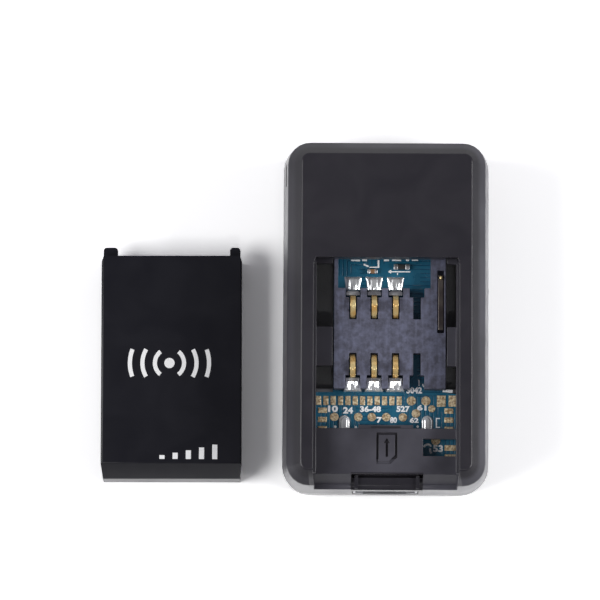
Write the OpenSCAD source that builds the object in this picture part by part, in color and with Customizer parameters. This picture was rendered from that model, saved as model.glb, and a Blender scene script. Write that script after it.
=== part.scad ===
// Small magnetic tracker: a two-shell case with a card bay in its front face,
// the board, cell and magnets inside it, and the bay cover lying beside it.
// Origin: centre of the flat magnet face. +Z is up out of the front face,
// +Y runs away from the end where the cover latches.

/* [Case] */
// Width of the case at its parting line
case_w = 24.6; // [24:0.1:28]
// Length of the case at its parting line
case_l = 42.1; // [41.5:0.1:48]
// Height of the parting line between the shells
parting_z = 7.1; // [6.8:0.1:7.6]
// Corner radius of the case seen from above
case_corner_r = 3.2; // [2.5:0.1:4]
// Wall thickness of both shells
wall_t = 1.2; // [1:0.05:1.4]
// How far the upper walls lean in below the bevel
upper_lean = 0.52; // [0.3:0.01:0.6]
// How far the lower walls lean in above the bottom bevel
lower_lean = 0.35; // [0.1:0.01:0.5]
// Width of the bevel round the front face
bevel_w = 1.67; // [1.4:0.01:1.8]
// Height of the bevel round the front face
bevel_h = 2.3; // [2:0.05:2.5]
// Corner radius of the flat front face
front_corner_r = 0.9; // [0.5:0.1:2]
// Width and height of the bevel round the magnet face
base_bevel = 1; // [0.6:0.1:1.2]
// Thickness of the deck under the front face
deck_t = 2; // [1.8:0.05:2.2]
// Thickness of the bottom shell's floor
floor_t = 1.2; // [1:0.1:1.6]
// Height of the rim that centres the upper shell on the lower one
rim_h = 0.8; // [0.5:0.1:1]
// Thickness of that rim
rim_t = 0.5; // [0.4:0.05:0.6]

/* [Magnets and cell] */
// Diameter of each magnet
magnet_d = 10; // [8:0.5:12]
// Thickness of each magnet
magnet_t = 2; // [1.5:0.1:2.5]
// Distance between the two magnets' centres
magnet_spacing = 20; // [16:0.5:24]
// Thickness of plastic over each magnet
magnet_roof_t = 0.6; // [0.5:0.05:0.8]
// Gap between the cell and the ribs at its sides
cell_side_gap = 0.18; // [0.1:0.01:0.5]
// Gap between the cell and the case at its far end
cell_end_gap = 0.8; // [0.3:0.05:2]
// Thickness of the cell
cell_t = 4.2; // [3.8:0.1:4.6]
// Thickness of the adhesive sheet under the cell
tape_t = 0.2; // [0.1:0.05:0.3]
// Thickness of the foam on the cell
foam_t = 0.5; // [0.3:0.05:0.6]
// Room left for parts under the board
chip_room = 1.1; // [1:0.05:1.3]

/* [Board] */
// Thickness of the circuit board
board_t = 0.8; // [0.6:0.05:1]
// Gap between the board's edge and the case wall
board_gap = 0.35; // [0.2:0.05:0.5]
// Thickness of the gold on the test pads
pad_t = 0.06; // [0.04:0.01:0.1]
// Width of the small test pads in the long row
row_pad_w = 0.6; // [0.4:0.05:0.7]
// Length of the small test pads in the long row
row_pad_l = 1.06; // [0.8:0.02:1.2]
// Pitch of the long row of test pads
row_pad_pitch = 0.872; // [0.8:0.002:0.9]
// Diameter of the round test pads
round_pad_d = 1.09; // [0.8:0.01:1.2]

/* [Card socket] */
// Distance from the latch end of the case to the middle of the contacts
contacts_from_end = 18.43; // [18.3:0.01:18.6]
// Height of the card socket over the board
socket_h = 1.8; // [1.6:0.05:2]
// Width of the socket's plastic frame
socket_w = 13.3; // [12.8:0.1:13.6]
// Length of the socket's plastic frame
socket_l = 16.4; // [15:0.1:17]
// Pitch of the contact columns
contact_pitch = 2.54; // [2.4:0.02:2.6]
// Distance between the two rows of contact crowns
row_spacing = 7.62; // [7.4:0.02:7.8]
// Width of each contact slot
slot_w = 0.9; // [0.8:0.02:1]
// Width of each contact spring
spring_w = 0.62; // [0.4:0.02:0.66]
// Thickness of the contact springs
spring_t = 0.14; // [0.1:0.01:0.2]
// Height of a contact crown over its root
spring_rise = 1.2; // [0.9:0.05:1.3]
// Gap between the socket's top and the card's underside
card_gap = 0.2; // [0.1:0.05:0.3]
// Room for the card between its floor and the cover
card_room = 1.4; // [1.2:0.05:1.6]

/* [Bay and cover] */
// Distance from the latch end of the case to the far edge of the bay
bay_l = 27.5; // [26.5:0.1:29]
// Room beside the socket for the right hook of the cover
hook_way = 1.23; // [1.2:0.01:1.3]
// Thickness of the cover
cover_t = 1.2; // [1:0.05:1.4]
// Gap all round the cover in its seat
cover_gap = 0.22; // [0.15:0.01:0.3]
// Width of the ledge that carries each long edge of the cover
ledge_w = 0.36; // [0.3:0.02:0.5]
// How far the cover's end lip reaches below the bevel
lip_drop = 2.1; // [1.8:0.05:2.2]
// Reach of the cover's two hooks past its far edge
hook_reach = 1.15; // [0.8:0.05:1.3]
// Width of the left hook
left_hook_w = 1.72; // [1.4:0.02:1.8]
// Width of the right hook
right_hook_w = 1.26; // [1.1:0.02:1.4]
// Thickness of the hooks
hook_t = 1.1; // [0.8:0.05:1.2]
// Gap between the case and the cover that lies beside it
cover_beside_gap = 4.95; // [3:0.05:20]
// How far the resting cover lies past its seat towards the far end
cover_beside_shift = 1.6; // [0:0.1:4]
// How far the resting cover is turned, in degrees
cover_beside_turn = 0.3; // [0:0.1:5]

/* [Charging port] */
// Width of the port's steel shell
port_w = 7.7; // [7.4:0.1:8]
// Height of the port's steel shell
port_h = 3.9; // [3.7:0.1:4]
// Depth of the port's steel shell
port_l = 9; // [8.4:0.1:9.4]
// Thickness of the port's sheet steel
port_sheet_t = 0.3; // [0.25:0.05:0.35]
// Distance between the two soldered legs of the port
leg_spacing = 9.9; // [9.6:0.1:10.2]

/* [Hidden] */

// Overrun of every cut past the face that it opens
over = 0.5;
// Flat steps in each rounded corner of a loft
corner_steps = 6;
// Gap that keeps two loose neighbours apart
fit_gap = 0.1;

// Heights, stacked up from the magnet face
cell_z = magnet_t + magnet_roof_t + tape_t;
foam_z = cell_z + cell_t;
board_z = foam_z + foam_t + chip_room;
board_top = board_z + board_t;
socket_top = board_top + socket_h;
card_floor_z = socket_top + card_gap;
ledge_z = card_floor_z + card_room;
case_h = ledge_z + cover_t;
bevel_z = case_h - bevel_h;
lip_z = bevel_z - lip_drop;

// Half sizes of the case at its levels
half_w = case_w / 2;
half_l = case_l / 2;
front_inset = upper_lean + bevel_w;
flat_end_y = -(half_l - front_inset);
inner_half_w = half_w - wall_t;
inner_half_l = half_l - wall_t;

// The bay, placed from the latch end of the case
bay_far_y = bay_l - half_l;
step_y = flat_end_y - 0.2 * wall_t;
slope_foot_y = step_y - 0.92 * wall_t;
card_deck_l = 5.45;
bridge_far_y = step_y + card_deck_l;
bridge_t = 1;
skirt_t = 0.8;
bay_taper = 0.2;

// The contacts, placed from the latch end of the case
contact_mid_y = contacts_from_end - half_l;
contact_mid_x = -0.15;
column_count = 4;
fitted_columns = 3;
slot_end_y = 2.02;
recess_y = 4.65;
recess_w = 1.78;
spring_root_y = 4.85;
spring_tip_y = 2.2;
spring_l = spring_root_y - spring_tip_y;
crown_share = (spring_root_y - row_spacing / 2) / spring_l;
spring_skew = ln(0.5) / ln(crown_share);
spring_root_z = board_top + socket_h * 2 / 3;
spring_steps = 14;

// The socket frame round them
socket_offset_x = 0.58;
socket_near_l = 6.28;
socket_mid_x = contact_mid_x + socket_offset_x;
socket_near_y = contact_mid_y - socket_near_l;
socket_far_y = socket_near_y + socket_l;
socket_left_x = socket_mid_x - socket_w / 2;
socket_right_x = socket_mid_x + socket_w / 2;
window_from_mid = 5.76;
window_y = contact_mid_y + window_from_mid;
bay_half_w = max(-socket_left_x, socket_right_x) + hook_way;
seat_half_w = bay_half_w + ledge_w;
cover_w = (seat_half_w - cover_gap) * 2;
window_left_w = 0.47;
window_right_w = 1.79;
groove_w = 0.8;
groove_depth = 1;
groove_edge = 0.2;
groove_from_mid = 0.4;
groove_l = 7.5;
groove_near_y = contact_mid_y + groove_from_mid;
groove_far_y = groove_near_y + groove_l;
detect_root_gap = 0.35;
detect_w = 0.48;
detect_t = 0.2;
detect_l = 6.6;
detect_drop = 0.05;
detect_dome_r = 0.3;

// The board, waisted beside the socket so that the cover's hooks can pass
board_half_w = inner_half_w - upper_lean / 2 - board_gap;
board_far_y = inner_half_l - upper_lean / 2 - board_gap;
board_near_cut = 0.6;
board_near_y = -(board_far_y - board_near_cut);
waist_gap = 0.05;
waist_left_x = socket_left_x - waist_gap;
waist_right_x = socket_right_x + waist_gap;
waist_margin = 0.25;
waist_near_y = socket_near_y - waist_margin;
waist_far_y = socket_far_y + waist_margin;
waist_slant = 0.5;

// Catches, hooks and windows at the sides of the bay
catch_near_l = 3.58;
catch_far_l = 1.1;
catch_near_y = contact_mid_y - catch_near_l;
catch_far_y = contact_mid_y + catch_far_l;
catch_t = 1;
catch_top = socket_top + fit_gap;
shelf_l = 0.4;
hook_leg_l = 2.5;
hook_leg_gap = 0.15;
hook_inset = 0.2;
hook_corner_r = 0.4;
cover_corner_x = 0.25;
cover_corner_y = 0.7;
cover_edge = 0.25;
cover_far_y = bay_far_y - cover_gap;
cover_wall_gap = 0.12;
left_hook_x = -cover_w / 2 + hook_inset;
right_hook_x = cover_w / 2 - hook_inset;

// The notch in the latch end, and the ribs in it
notch_w = 8.5;
notch_mid_x = 0.17;
notch_drop = 1.15;
notch_end_drop = 0.35;
notch_rib_w = 0.42;
notch_rib_h = 0.35;
notch_rib_in = 0.6;

// The card mark and the window in the card deck
mark_w = 2.5;
mark_l = 3.7;
mark_x = 0.12;
mark_y = step_y + 3.1;
mark_line = 0.28;
mark_depth = 0.25;
mark_cut = 0.75;
port_hole_l = 2.05;
port_hole_w = 3.9;
deck_window_near_y = step_y + 2.17;
ramp_w = 6.5;
ramp_l = 0.45;

// Sound slot in the left wall
sound_l = 2.75;
sound_h = 0.8;
sound_from_end = 4.25;
sound_over_board = 0.5;
sound_y = half_l - sound_from_end;
sound_z = board_top + sound_over_board;

// Charging port under the near end of the board
port_front_y = end_wall_y(board_z);
port_gap = 0.08;
port_low_w_share = 0.72;
port_step_share = 0.36;
leg_t = 0.3;
leg_l = 2.2;
leg_from_mouth = 7.64;
leg_y = port_front_y + leg_from_mouth;
leg_rise = 0.2;
leg_hole_gap = 0.12;

// Small parts on the board
shield_w_share = 0.6;
shield_h = 1.9;
shield_sheet_t = 0.2;
chip_t = 0.85;
pillar_w = 0.8;
pillar_l = 3;
pillar_y_share = 0.72;

// Outline of a rounded rectangle, with the same number of points whatever its size
function rounded_points(w, l, r) = [
  for (quarter = [0 : 3], i = [0 : corner_steps])
    let (a = 90 * (quarter + i / corner_steps),
      x = (quarter == 0 || quarter == 3 ? 1 : -1) * (w / 2 - r),
      y = (quarter < 2 ? 1 : -1) * (l / 2 - r))
    [x + r * cos(a), y + r * sin(a)]
];

module rounded_plan(w, l, r) {
  polygon(rounded_points(w, l, r));
}

// A solid through level outlines, each given as [width, length, corner radius, height]
module lofted(levels) {
  n = 4 * (corner_steps + 1);
  m = len(levels);
  points = [for (v = levels, p = rounded_points(v[0], v[1], v[2])) [p[0], p[1], v[3]]];
  polyhedron(points, concat(
    [[for (i = [0 : n - 1]) i]],
    [[for (i = [1 : n]) m * n - i]],
    [for (k = [0 : m - 2], i = [0 : n - 1])
      let (j = (i + 1) % n)
      [k * n + j, k * n + i, (k + 1) * n + i, (k + 1) * n + j]]
  ));
}

// A YZ outline run along X from x0 to x1
module along_x(x0, x1, points) {
  translate([x0, 0, 0])
    rotate([90, 0, 90]) linear_extrude(x1 - x0) polygon(points);
}

// A box given by its low and high corners
module block(low, high) {
  translate(low) cube(high - low);
}

// Distance of the latch end's outer wall from the middle at a height above the parting line
function end_wall_y(z) = -(half_l - upper_lean * (z - parting_z) / (bevel_z - parting_z));

// Plan of the cover, widened all round by grow
module cover_plan(grow) {
  w = cover_w / 2 + grow;
  far = cover_far_y + grow;
  low_y = -half_l - over;
  taper_y = -(half_l - upper_lean);
  polygon([
    [-w + cover_corner_x, far], [-w, far - cover_corner_y], [-w, flat_end_y],
    [-w + bay_taper, taper_y], [-w + bay_taper, low_y],
    [w - bay_taper, low_y], [w - bay_taper, taper_y],
    [w, flat_end_y], [w, far - cover_corner_y], [w - cover_corner_x, far]
  ]);
}

// Everything that the seated cover needs cut out of the upper shell
module cover_seat() {
  intersection() {
    translate([0, 0, lip_z - over]) linear_extrude(case_h) cover_plan(cover_gap);
    along_x(-half_w, half_w, [
      [bay_far_y + over, case_h + over], [bay_far_y + over, ledge_z],
      [step_y, ledge_z], [step_y, card_floor_z], [slope_foot_y, lip_z - fit_gap],
      [-half_l - over, lip_z - fit_gap], [-half_l - over, case_h + over]
    ]);
  }
}

// Height of the notch's floor, from the step to the end of the lip
function notch_floor_z(y) =
  let (far = card_floor_z - notch_drop, near = lip_z - notch_end_drop)
  far + (near - far) * (y - step_y) / (end_wall_y(lip_z) - step_y);

// The notch that takes the cover's latch tongue
module latch_notch() {
  x0 = notch_mid_x - notch_w / 2;
  low_y = end_wall_y(lip_z);
  along_x(x0, x0 + notch_w, [
    [step_y, card_floor_z + over], [step_y, notch_floor_z(step_y)],
    [low_y, notch_floor_z(low_y)], [-half_l - over, notch_floor_z(low_y)],
    [-half_l - over, card_floor_z + over]
  ]);
}

// The two ribs that stand on the notch's floor
module notch_ribs() {
  y0 = step_y - fit_gap;
  y1 = end_wall_y(lip_z) + fit_gap;
  for (side = [-1, 1]) {
    x = notch_mid_x + side * (notch_w / 2 - notch_rib_in);
    along_x(x - notch_rib_w / 2, x + notch_rib_w / 2, [
      [y0, notch_floor_z(y0) - fit_gap], [y0, notch_floor_z(y0) + notch_rib_h],
      [y1, notch_floor_z(y1) + notch_rib_h], [y1, notch_floor_z(y1) - fit_gap]
    ]);
  }
}

module card_mark() {
  translate([mark_x, mark_y, card_floor_z - mark_depth])
    linear_extrude(mark_depth + over) {
      difference() {
        card_mark_outline(0);
        card_mark_outline(mark_line);
      }
      translate([-mark_line / 2, -mark_l * 0.28]) square([mark_line, mark_l * 0.5]);
      polygon([[-mark_w * 0.17, mark_l * 0.16], [mark_w * 0.17, mark_l * 0.16], [0, mark_l * 0.32]]);
    }
}

module card_mark_outline(inset) {
  w = mark_w / 2 - inset;
  l = mark_l / 2 - inset;
  polygon([[-w, -l], [w - mark_cut, -l], [w, -l + mark_cut], [w, l], [-w, l]]);
}

module upper_outer() {
  lofted([
    [case_w, case_l, case_corner_r, parting_z],
    [case_w - 2 * upper_lean, case_l - 2 * upper_lean, case_corner_r - upper_lean, bevel_z],
    [case_w - 2 * front_inset, case_l - 2 * front_inset, front_corner_r, case_h]
  ]);
}

// The hollow of the upper shell, up to the underside of its deck
module upper_hollow() {
  r = case_corner_r - wall_t;
  w = inner_half_w * 2;
  l = inner_half_l * 2;
  in = upper_lean * 2;
  lofted([
    [w, l, r, parting_z - over],
    [w, l, r, parting_z + rim_h + fit_gap],
    [w - in, l - in, r, bevel_z - wall_t / 2],
    [w - in * 2, l - in * 2, r, case_h - deck_t]
  ]);
}

// The walls and card deck of the bay, joined to the underside of the front deck
module bay_frame() {
  out = bay_half_w + skirt_t;
  for (side = [-1, 1])
    block([side > 0 ? bay_half_w : -out, flat_end_y, board_top + fit_gap],
      [side > 0 ? out : -bay_half_w, bay_far_y + shelf_l * 3, ledge_z - over / 2]);
  block([-out, step_y - wall_t / 2, card_floor_z - bridge_t], [out, bridge_far_y, card_floor_z]);
  block([-out, -inner_half_l, board_top + fit_gap], [out, step_y + wall_t, card_floor_z]);
}

// The ramp at the far edge of the card deck
module bridge_ramp() {
  y0 = bridge_far_y - fit_gap;
  y1 = bridge_far_y + ramp_l;
  low = card_floor_z - bridge_t + fit_gap;
  along_x(-ramp_w / 2, ramp_w / 2, [
    [y0, low], [y0, card_floor_z - fit_gap], [y1, card_floor_z - ramp_l], [y1, low]
  ]);
}

// The catches half way along the bay, and the shelves under its far edge
module catches() {
  out = bay_half_w + skirt_t / 2;
  low = catch_top - catch_t;
  left = waist_left_x - fit_gap;
  right = waist_right_x + fit_gap;
  block([-out, catch_near_y, low], [left, catch_far_y, catch_top]);
  block([right, catch_near_y, low], [out, catch_far_y, catch_top]);
  block([-out, bay_far_y - shelf_l, low], [left, bay_far_y + shelf_l * 2, catch_top]);
  block([right, bay_far_y - shelf_l, low], [out, bay_far_y + shelf_l * 2, catch_top]);
}

// The open well of the bay, beyond the card deck
module bay_well() {
  block([-bay_half_w, bridge_far_y, board_top - over], [bay_half_w, bay_far_y, case_h]);
  block([-bay_half_w, step_y, card_floor_z], [bay_half_w, bay_far_y - over, case_h]);
}

// Pockets under the deck for the noses of the cover's hooks
module hook_pockets() {
  grow = hook_leg_gap;
  for (x = [[left_hook_x, left_hook_x + left_hook_w], [right_hook_x - right_hook_w, right_hook_x]])
    block([x[0] - grow, bay_far_y - over, catch_top],
      [x[1] + grow, cover_far_y + hook_reach + grow * 2, ledge_z + fit_gap]);
}

module port_plan(grow) {
  w = port_w / 2 + grow;
  low_w = port_w / 2 * port_low_w_share + grow;
  h = port_h + grow;
  polygon([
    [-w, h], [-w, port_h * port_step_share], [-low_w, -grow],
    [low_w, -grow], [w, port_h * port_step_share], [w, h]
  ]);
}

// The port's outline run along Y from y0 to y1
module port_prism(y0, y1, grow) {
  translate([0, y1, board_z - port_h])
    rotate([90, 0, 0]) linear_extrude(y1 - y0) port_plan(grow);
}

module top_housing() {
  color([0.2, 0.2, 0.22]) {
    difference() {
      union() {
        difference() {
          upper_outer();
          upper_hollow();
        }
        bay_frame();
      }
      cover_seat();
      bay_well();
      latch_notch();
      card_mark();
      translate([bay_half_w - port_hole_w, deck_window_near_y, card_floor_z - bridge_t - over])
        cube([port_hole_w, port_hole_l, bridge_t + over * 2]);
      hook_pockets();
      port_prism(-half_l - over, port_front_y + port_l, port_gap);
      translate([-half_w - over, sound_y, sound_z]) rotate([0, 90, 0])
        linear_extrude(wall_t * 3) rounded_plan(sound_h, sound_l, sound_h * 0.45);
    }
    catches();
    bridge_ramp();
    notch_ribs();
  }
}

module lower_outer() {
  low_inset = lower_lean + base_bevel;
  lofted([
    [case_w - 2 * low_inset, case_l - 2 * low_inset, case_corner_r - base_bevel, 0],
    [case_w - 2 * lower_lean, case_l - 2 * lower_lean, case_corner_r - lower_lean, base_bevel],
    [case_w, case_l, case_corner_r, parting_z]
  ]);
}

module lower_hollow() {
  low_inset = lower_lean + wall_t;
  lofted([
    [case_w - 2 * low_inset, case_l - 2 * low_inset, case_corner_r - wall_t, floor_t],
    [inner_half_w * 2, inner_half_l * 2, case_corner_r - wall_t, parting_z],
    [inner_half_w * 2, inner_half_l * 2, case_corner_r - wall_t, parting_z + over]
  ]);
}

// A ring of the rim, whose outer face stands out from the case's middle by out
module rim_ring(inset, z0, z1) {
  w = (inner_half_w - fit_gap) * 2;
  l = (inner_half_l - fit_gap) * 2;
  r = case_corner_r - wall_t;
  translate([0, 0, z0])
    linear_extrude(z1 - z0)
      difference() {
        rounded_plan(w - inset * 2, l - inset * 2, r);
        rounded_plan(w - rim_t * 2, l - rim_t * 2, r - rim_t);
      }
}

module bottom_housing() {
  boss_d = magnet_d + 2 * (wall_t + fit_gap);
  color([0.16, 0.16, 0.18])
    difference() {
      union() {
        difference() {
          lower_outer();
          lower_hollow();
        }
        rim_ring(-wall_t / 2, parting_z - rim_h, parting_z);
        rim_ring(0, parting_z - rim_h / 2, parting_z + rim_h);
        for (side = [-1, 1])
          translate([0, side * magnet_spacing / 2, floor_t / 2])
            cylinder(d = boss_d, h = cell_z - tape_t - floor_t / 2, $fn = 64);
        for (sx = [-1, 1], sy = [-1, 1])
          board_pillar(sx, sy);
      }
      for (side = [-1, 1])
        translate([0, side * magnet_spacing / 2, -over])
          cylinder(d = magnet_d + 2 * fit_gap, h = magnet_t + over, $fn = 64);
      port_prism(-half_l - over, port_front_y + port_l, port_gap);
    }
}

// A rib on the side wall that carries a corner of the board
module board_pillar(sx, sy) {
  out = inner_half_w - upper_lean;
  wall = inner_half_w - fit_gap * 2;
  in = out - pillar_w;
  mid = sy * board_far_y * pillar_y_share;
  y = [mid - pillar_l / 2, mid + pillar_l / 2];
  block([sx > 0 ? in : -out, y[0], floor_t / 2], [sx > 0 ? out : -in, y[1], board_z]);
  block([sx > 0 ? in : -wall, y[0], floor_t / 2], [sx > 0 ? wall : -in, y[1], parting_z - rim_h / 2]);
}

module magnet(side) {
  color([0.75, 0.76, 0.78])
    translate([0, side * magnet_spacing / 2, 0])
      cylinder(d = magnet_d, h = magnet_t, $fn = 64);
}

module magnet_far() { magnet(1); }
module magnet_near() { magnet(-1); }

// The cell fills the room between the far wall and the port, with its guard board at the near end
guard_l = 2.4;
guard_h = 1.2;
guard_gap = 0.55;
cell_far_y = inner_half_l - lower_lean - cell_end_gap;
cell_near_y = port_front_y + port_l + guard_gap + guard_l;
cell_l = cell_far_y - cell_near_y;
cell_w = (inner_half_w - upper_lean - pillar_w - cell_side_gap) * 2;

module cell_tape() {
  color([0.9, 0.88, 0.8])
    block([-cell_w / 3, cell_near_y + cell_l / 8, cell_z - tape_t],
      [cell_w / 3, cell_far_y - cell_l / 8, cell_z]);
}

module battery_cell() {
  r = cell_t / 4;
  color([0.7, 0.71, 0.73])
    translate([0, cell_near_y + cell_l / 2, cell_z])
      linear_extrude(cell_t) rounded_plan(cell_w, cell_l, r);
}

module cell_guard_board() {
  color([0.1, 0.35, 0.2])
    block([-cell_w * 0.42, cell_near_y - guard_l, cell_z + cell_t / 2 - guard_h / 2],
      [cell_w * 0.42, cell_near_y, cell_z + cell_t / 2 + guard_h / 2]);
}

module cell_foam() {
  color([0.08, 0.08, 0.08])
    block([-cell_w / 2 + foam_t, cell_near_y + foam_t, foam_z],
      [cell_w / 2 - foam_t, cell_far_y - foam_t, foam_z + foam_t]);
}

// A lead from the cell's guard board, round one bend and up to the board
lead_d = 0.8;
lead_bend_r = 1;
lead_out_l = 0.6;
lead_gap = 0.5;
lead_pitch = 1.3;
black_lead_x = -(leg_spacing / 2 + leg_t / 2 + lead_gap + lead_d / 2);

module lead(x) {
  y0 = cell_near_y - guard_l;
  z0 = cell_z + cell_t / 2;
  translate([x, y0, z0]) {
    rotate([90, 0, 0]) cylinder(d = lead_d, h = lead_out_l, $fn = 24);
    translate([0, -lead_out_l, lead_bend_r])
      rotate([90, 0, 90]) rotate([0, 0, 180])
        rotate_extrude(angle = 90, $fn = 48)
          translate([lead_bend_r, 0]) circle(d = lead_d, $fn = 24);
    translate([0, -lead_out_l - lead_bend_r, lead_bend_r])
      cylinder(d = lead_d, h = board_z - z0 - lead_bend_r, $fn = 24);
  }
}

module red_lead() { color([0.8, 0.1, 0.08]) lead(black_lead_x - lead_pitch); }
module black_lead() { color([0.06, 0.06, 0.06]) lead(black_lead_x); }

module main_board() {
  b = board_half_w;
  r = case_corner_r - wall_t - board_gap;
  color([0.02, 0.27, 0.38])
    difference() {
      translate([0, 0, board_z])
        linear_extrude(board_t)
          difference() {
            intersection() {
              rounded_plan(b * 2, board_far_y * 2, r);
              translate([-b, board_near_y]) square([b * 2, board_far_y - board_near_y]);
            }
            polygon([
              [-b - over, waist_near_y], [waist_left_x, waist_near_y],
              [waist_left_x, waist_far_y], [-b - over, waist_far_y]
            ]);
            polygon([
              [b + over, waist_near_y - waist_slant], [waist_right_x, waist_near_y],
              [waist_right_x, waist_far_y], [b + over, waist_far_y]
            ]);
          }
      for (side = [-1, 1])
        translate([side * leg_spacing / 2, leg_y, board_z - over])
          translate([-leg_t / 2 - leg_hole_gap, -leg_l / 2 - leg_hole_gap, 0])
            cube([leg_t + leg_hole_gap * 2, leg_l + leg_hole_gap * 2, board_t + over * 2]);
    }
}

// Test pads between the socket and the card deck, placed from the socket's near edge
row_gap = 1.26;
row_y = socket_near_y - row_gap;
row_count = 12;
row_reach = 7.84;
row_round_x = 3.04;
row_round_pitch = 1.73;
big_pad_w = 1.03;
big_pad_l = 1.31;
big_pad_x = 6.61;
big_pad_pitch = 1.39;
side_pad_w = 1.05;
side_pad_l = 0.62;
side_pad_pitch = 1.1;
side_pad_count = 3;
side_pad_x = 7.5;
low_round_gap = 1.96;
low_round_y = row_y - low_round_gap;
low_round_reach = 6.1;
low_round_shares = [-1, -0.534, -0.272, 0.012, 0.336];
low_round_d = 1;
small_round_d = 0.85;
window_pad_w = 1.36;
window_pad_l = 0.68;
window_pad_x = bay_half_w - port_hole_w * 0.16;
window_pad_y = deck_window_near_y + port_hole_l * 0.57;

module pad_block(x, y, w, l) {
  translate([x - w / 2, y - l / 2, board_top]) cube([w, l, pad_t]);
}

module pad_disc(x, y, d) {
  translate([x, y, board_top]) cylinder(d = d, h = pad_t, $fn = 32);
}

module gold_pads() {
  color([0.76, 0.63, 0.42]) {
    for (i = [0 : row_count - 1])
      pad_block(contact_mid_x - row_reach + i * row_pad_pitch, row_y, row_pad_w, row_pad_l);
    for (i = [0, 1]) {
      pad_disc(row_round_x + i * row_round_pitch, row_y, round_pad_d);
      pad_block(big_pad_x + i * big_pad_pitch, row_y, big_pad_w, big_pad_l);
    }
    for (side = [-1, 1], i = [1 : side_pad_count])
      pad_block(side * side_pad_x, row_y - side_pad_l / 8 - i * side_pad_pitch, side_pad_w, side_pad_l);
    for (share = low_round_shares) pad_disc(low_round_reach * share, low_round_y, low_round_d);
    pad_disc(low_round_reach * 0.589, low_round_y + round_pad_d * 0.42, low_round_d);
    pad_disc(low_round_reach * 0.897, low_round_y + round_pad_d * 0.95, small_round_d);
    pad_disc(bay_half_w - port_hole_w * 0.605, deck_window_near_y + port_hole_l, round_pad_d);
    for (i = [0, 1])
      pad_block(window_pad_x, window_pad_y - i * side_pad_pitch, window_pad_w, window_pad_l);
  }
}

function column_x(i) = contact_mid_x + (i - (column_count - 1) / 2) * contact_pitch;

module socket_frame() {
  color([0.33, 0.33, 0.42])
    difference() {
      block([socket_left_x, socket_near_y, board_top], [socket_right_x, socket_far_y, socket_top]);
      block([socket_left_x + window_left_w, window_y, board_top - over],
        [socket_right_x - window_right_w, socket_far_y + over, socket_top + over]);
      for (i = [0 : column_count - 1], side = [-1, 1])
        translate([column_x(i), contact_mid_y, 0]) scale([1, side, 1]) contact_slot();
      block([socket_right_x - groove_edge - groove_w, groove_near_y, socket_top - groove_depth],
        [socket_right_x - groove_edge, groove_far_y, socket_top + over]);
    }
}

// One slot with the wider recess at its root, for a contact that points to the middle
module contact_slot() {
  block([-slot_w / 2, slot_end_y, board_top - over], [slot_w / 2, recess_y + over, socket_top + over]);
  block([-recess_w / 2, recess_y, board_top - over],
    [recess_w / 2, recess_y + spring_l, socket_top + over]);
}

// Shape of a contact spring: s runs from 0 at its root to 1 at its tip
function spring_y(s) = spring_root_y - spring_l * s;
function spring_z(s) = spring_root_z + spring_rise * sin(180 * pow(s, spring_skew));
function spring_edge(s, side) =
  let (a = max(s - 0.01, 0), b = min(s + 0.01, 1),
    dy = spring_y(b) - spring_y(a), dz = spring_z(b) - spring_z(a), n = norm([dy, dz]))
  [spring_y(s) + side * dz / n * spring_t / 2, spring_z(s) - side * dy / n * spring_t / 2];

module contact_spring(column, side) {
  steps = [for (i = [0 : spring_steps]) i / spring_steps];
  back = [for (i = [0 : spring_steps]) 1 - i / spring_steps];
  color([0.95, 0.75, 0.35])
    translate([column_x(column), contact_mid_y, 0])
      scale([1, side, 1])
        along_x(-spring_w / 2, spring_w / 2,
          concat([for (s = steps) spring_edge(s, 1)], [for (s = back) spring_edge(s, -1)]));
}

module contact_far_1() { contact_spring(0, 1); }
module contact_far_2() { contact_spring(1, 1); }
module contact_far_3() { contact_spring(2, 1); }
module contact_near_1() { contact_spring(0, -1); }
module contact_near_2() { contact_spring(1, -1); }
module contact_near_3() { contact_spring(2, -1); }

// The fixed tail of each contact: a shoulder behind the spring that steps down to the board
tail_gap = 0.08;
tail_w = 1.3;
shoulder_w = 1.62;
tail_t = 0.18;
tail_shelf_l = 0.5;
far_tail_l = 1.8;
near_tail_l = 1;
solder_w = 2.1;
solder_h = 0.7;

module contact_tail(tail_l) {
  y0 = spring_root_y + tail_gap;
  y1 = y0 + tail_shelf_l;
  top = spring_root_z + tail_t / 2;
  along_x(-tail_w / 2, tail_w / 2, [
    [y0, top], [y1, top], [y1 + tail_t, top - tail_t], [y1 + tail_t * 2, board_top + tail_t],
    [y1 + tail_l, board_top + tail_t], [y1 + tail_l, board_top], [y1 + tail_t, board_top],
    [y1 - tail_t / 2, top - tail_t], [y0, top - tail_t]
  ]);
  block([-shoulder_w / 2, y0, top - tail_t], [shoulder_w / 2, y1 - tail_t / 2, top]);
}

module each_contact() {
  for (i = [0 : fitted_columns - 1])
    translate([column_x(i), contact_mid_y, 0]) children();
}

module contact_tails() {
  color([0.8, 0.8, 0.8]) {
    each_contact() contact_tail(far_tail_l);
    each_contact() scale([1, -1, 1]) contact_tail(near_tail_l);
  }
}

// Solder that wets the board on both sides of a tail
module solder_fillet(tail_l) {
  y0 = spring_root_y + tail_gap + tail_shelf_l + tail_t * 3;
  y1 = spring_root_y + tail_gap + tail_shelf_l + tail_l;
  for (side = [-1, 1])
    scale([side, 1, 1])
      translate([tail_w / 2, y1, board_top]) rotate([90, 0, 0])
        linear_extrude(y1 - y0)
          polygon([[0, 0], [(solder_w - tail_w) / 2, 0], [0, solder_h]]);
}

module tail_solder() {
  color([0.86, 0.87, 0.88]) {
    each_contact() solder_fillet(far_tail_l);
    each_contact() scale([1, -1, 1]) solder_fillet(near_tail_l);
  }
}

detect_x = socket_right_x - groove_edge - groove_w / 2;
detect_root_y = groove_near_y + detect_root_gap;
detect_z = socket_top - detect_drop - detect_t;

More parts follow.
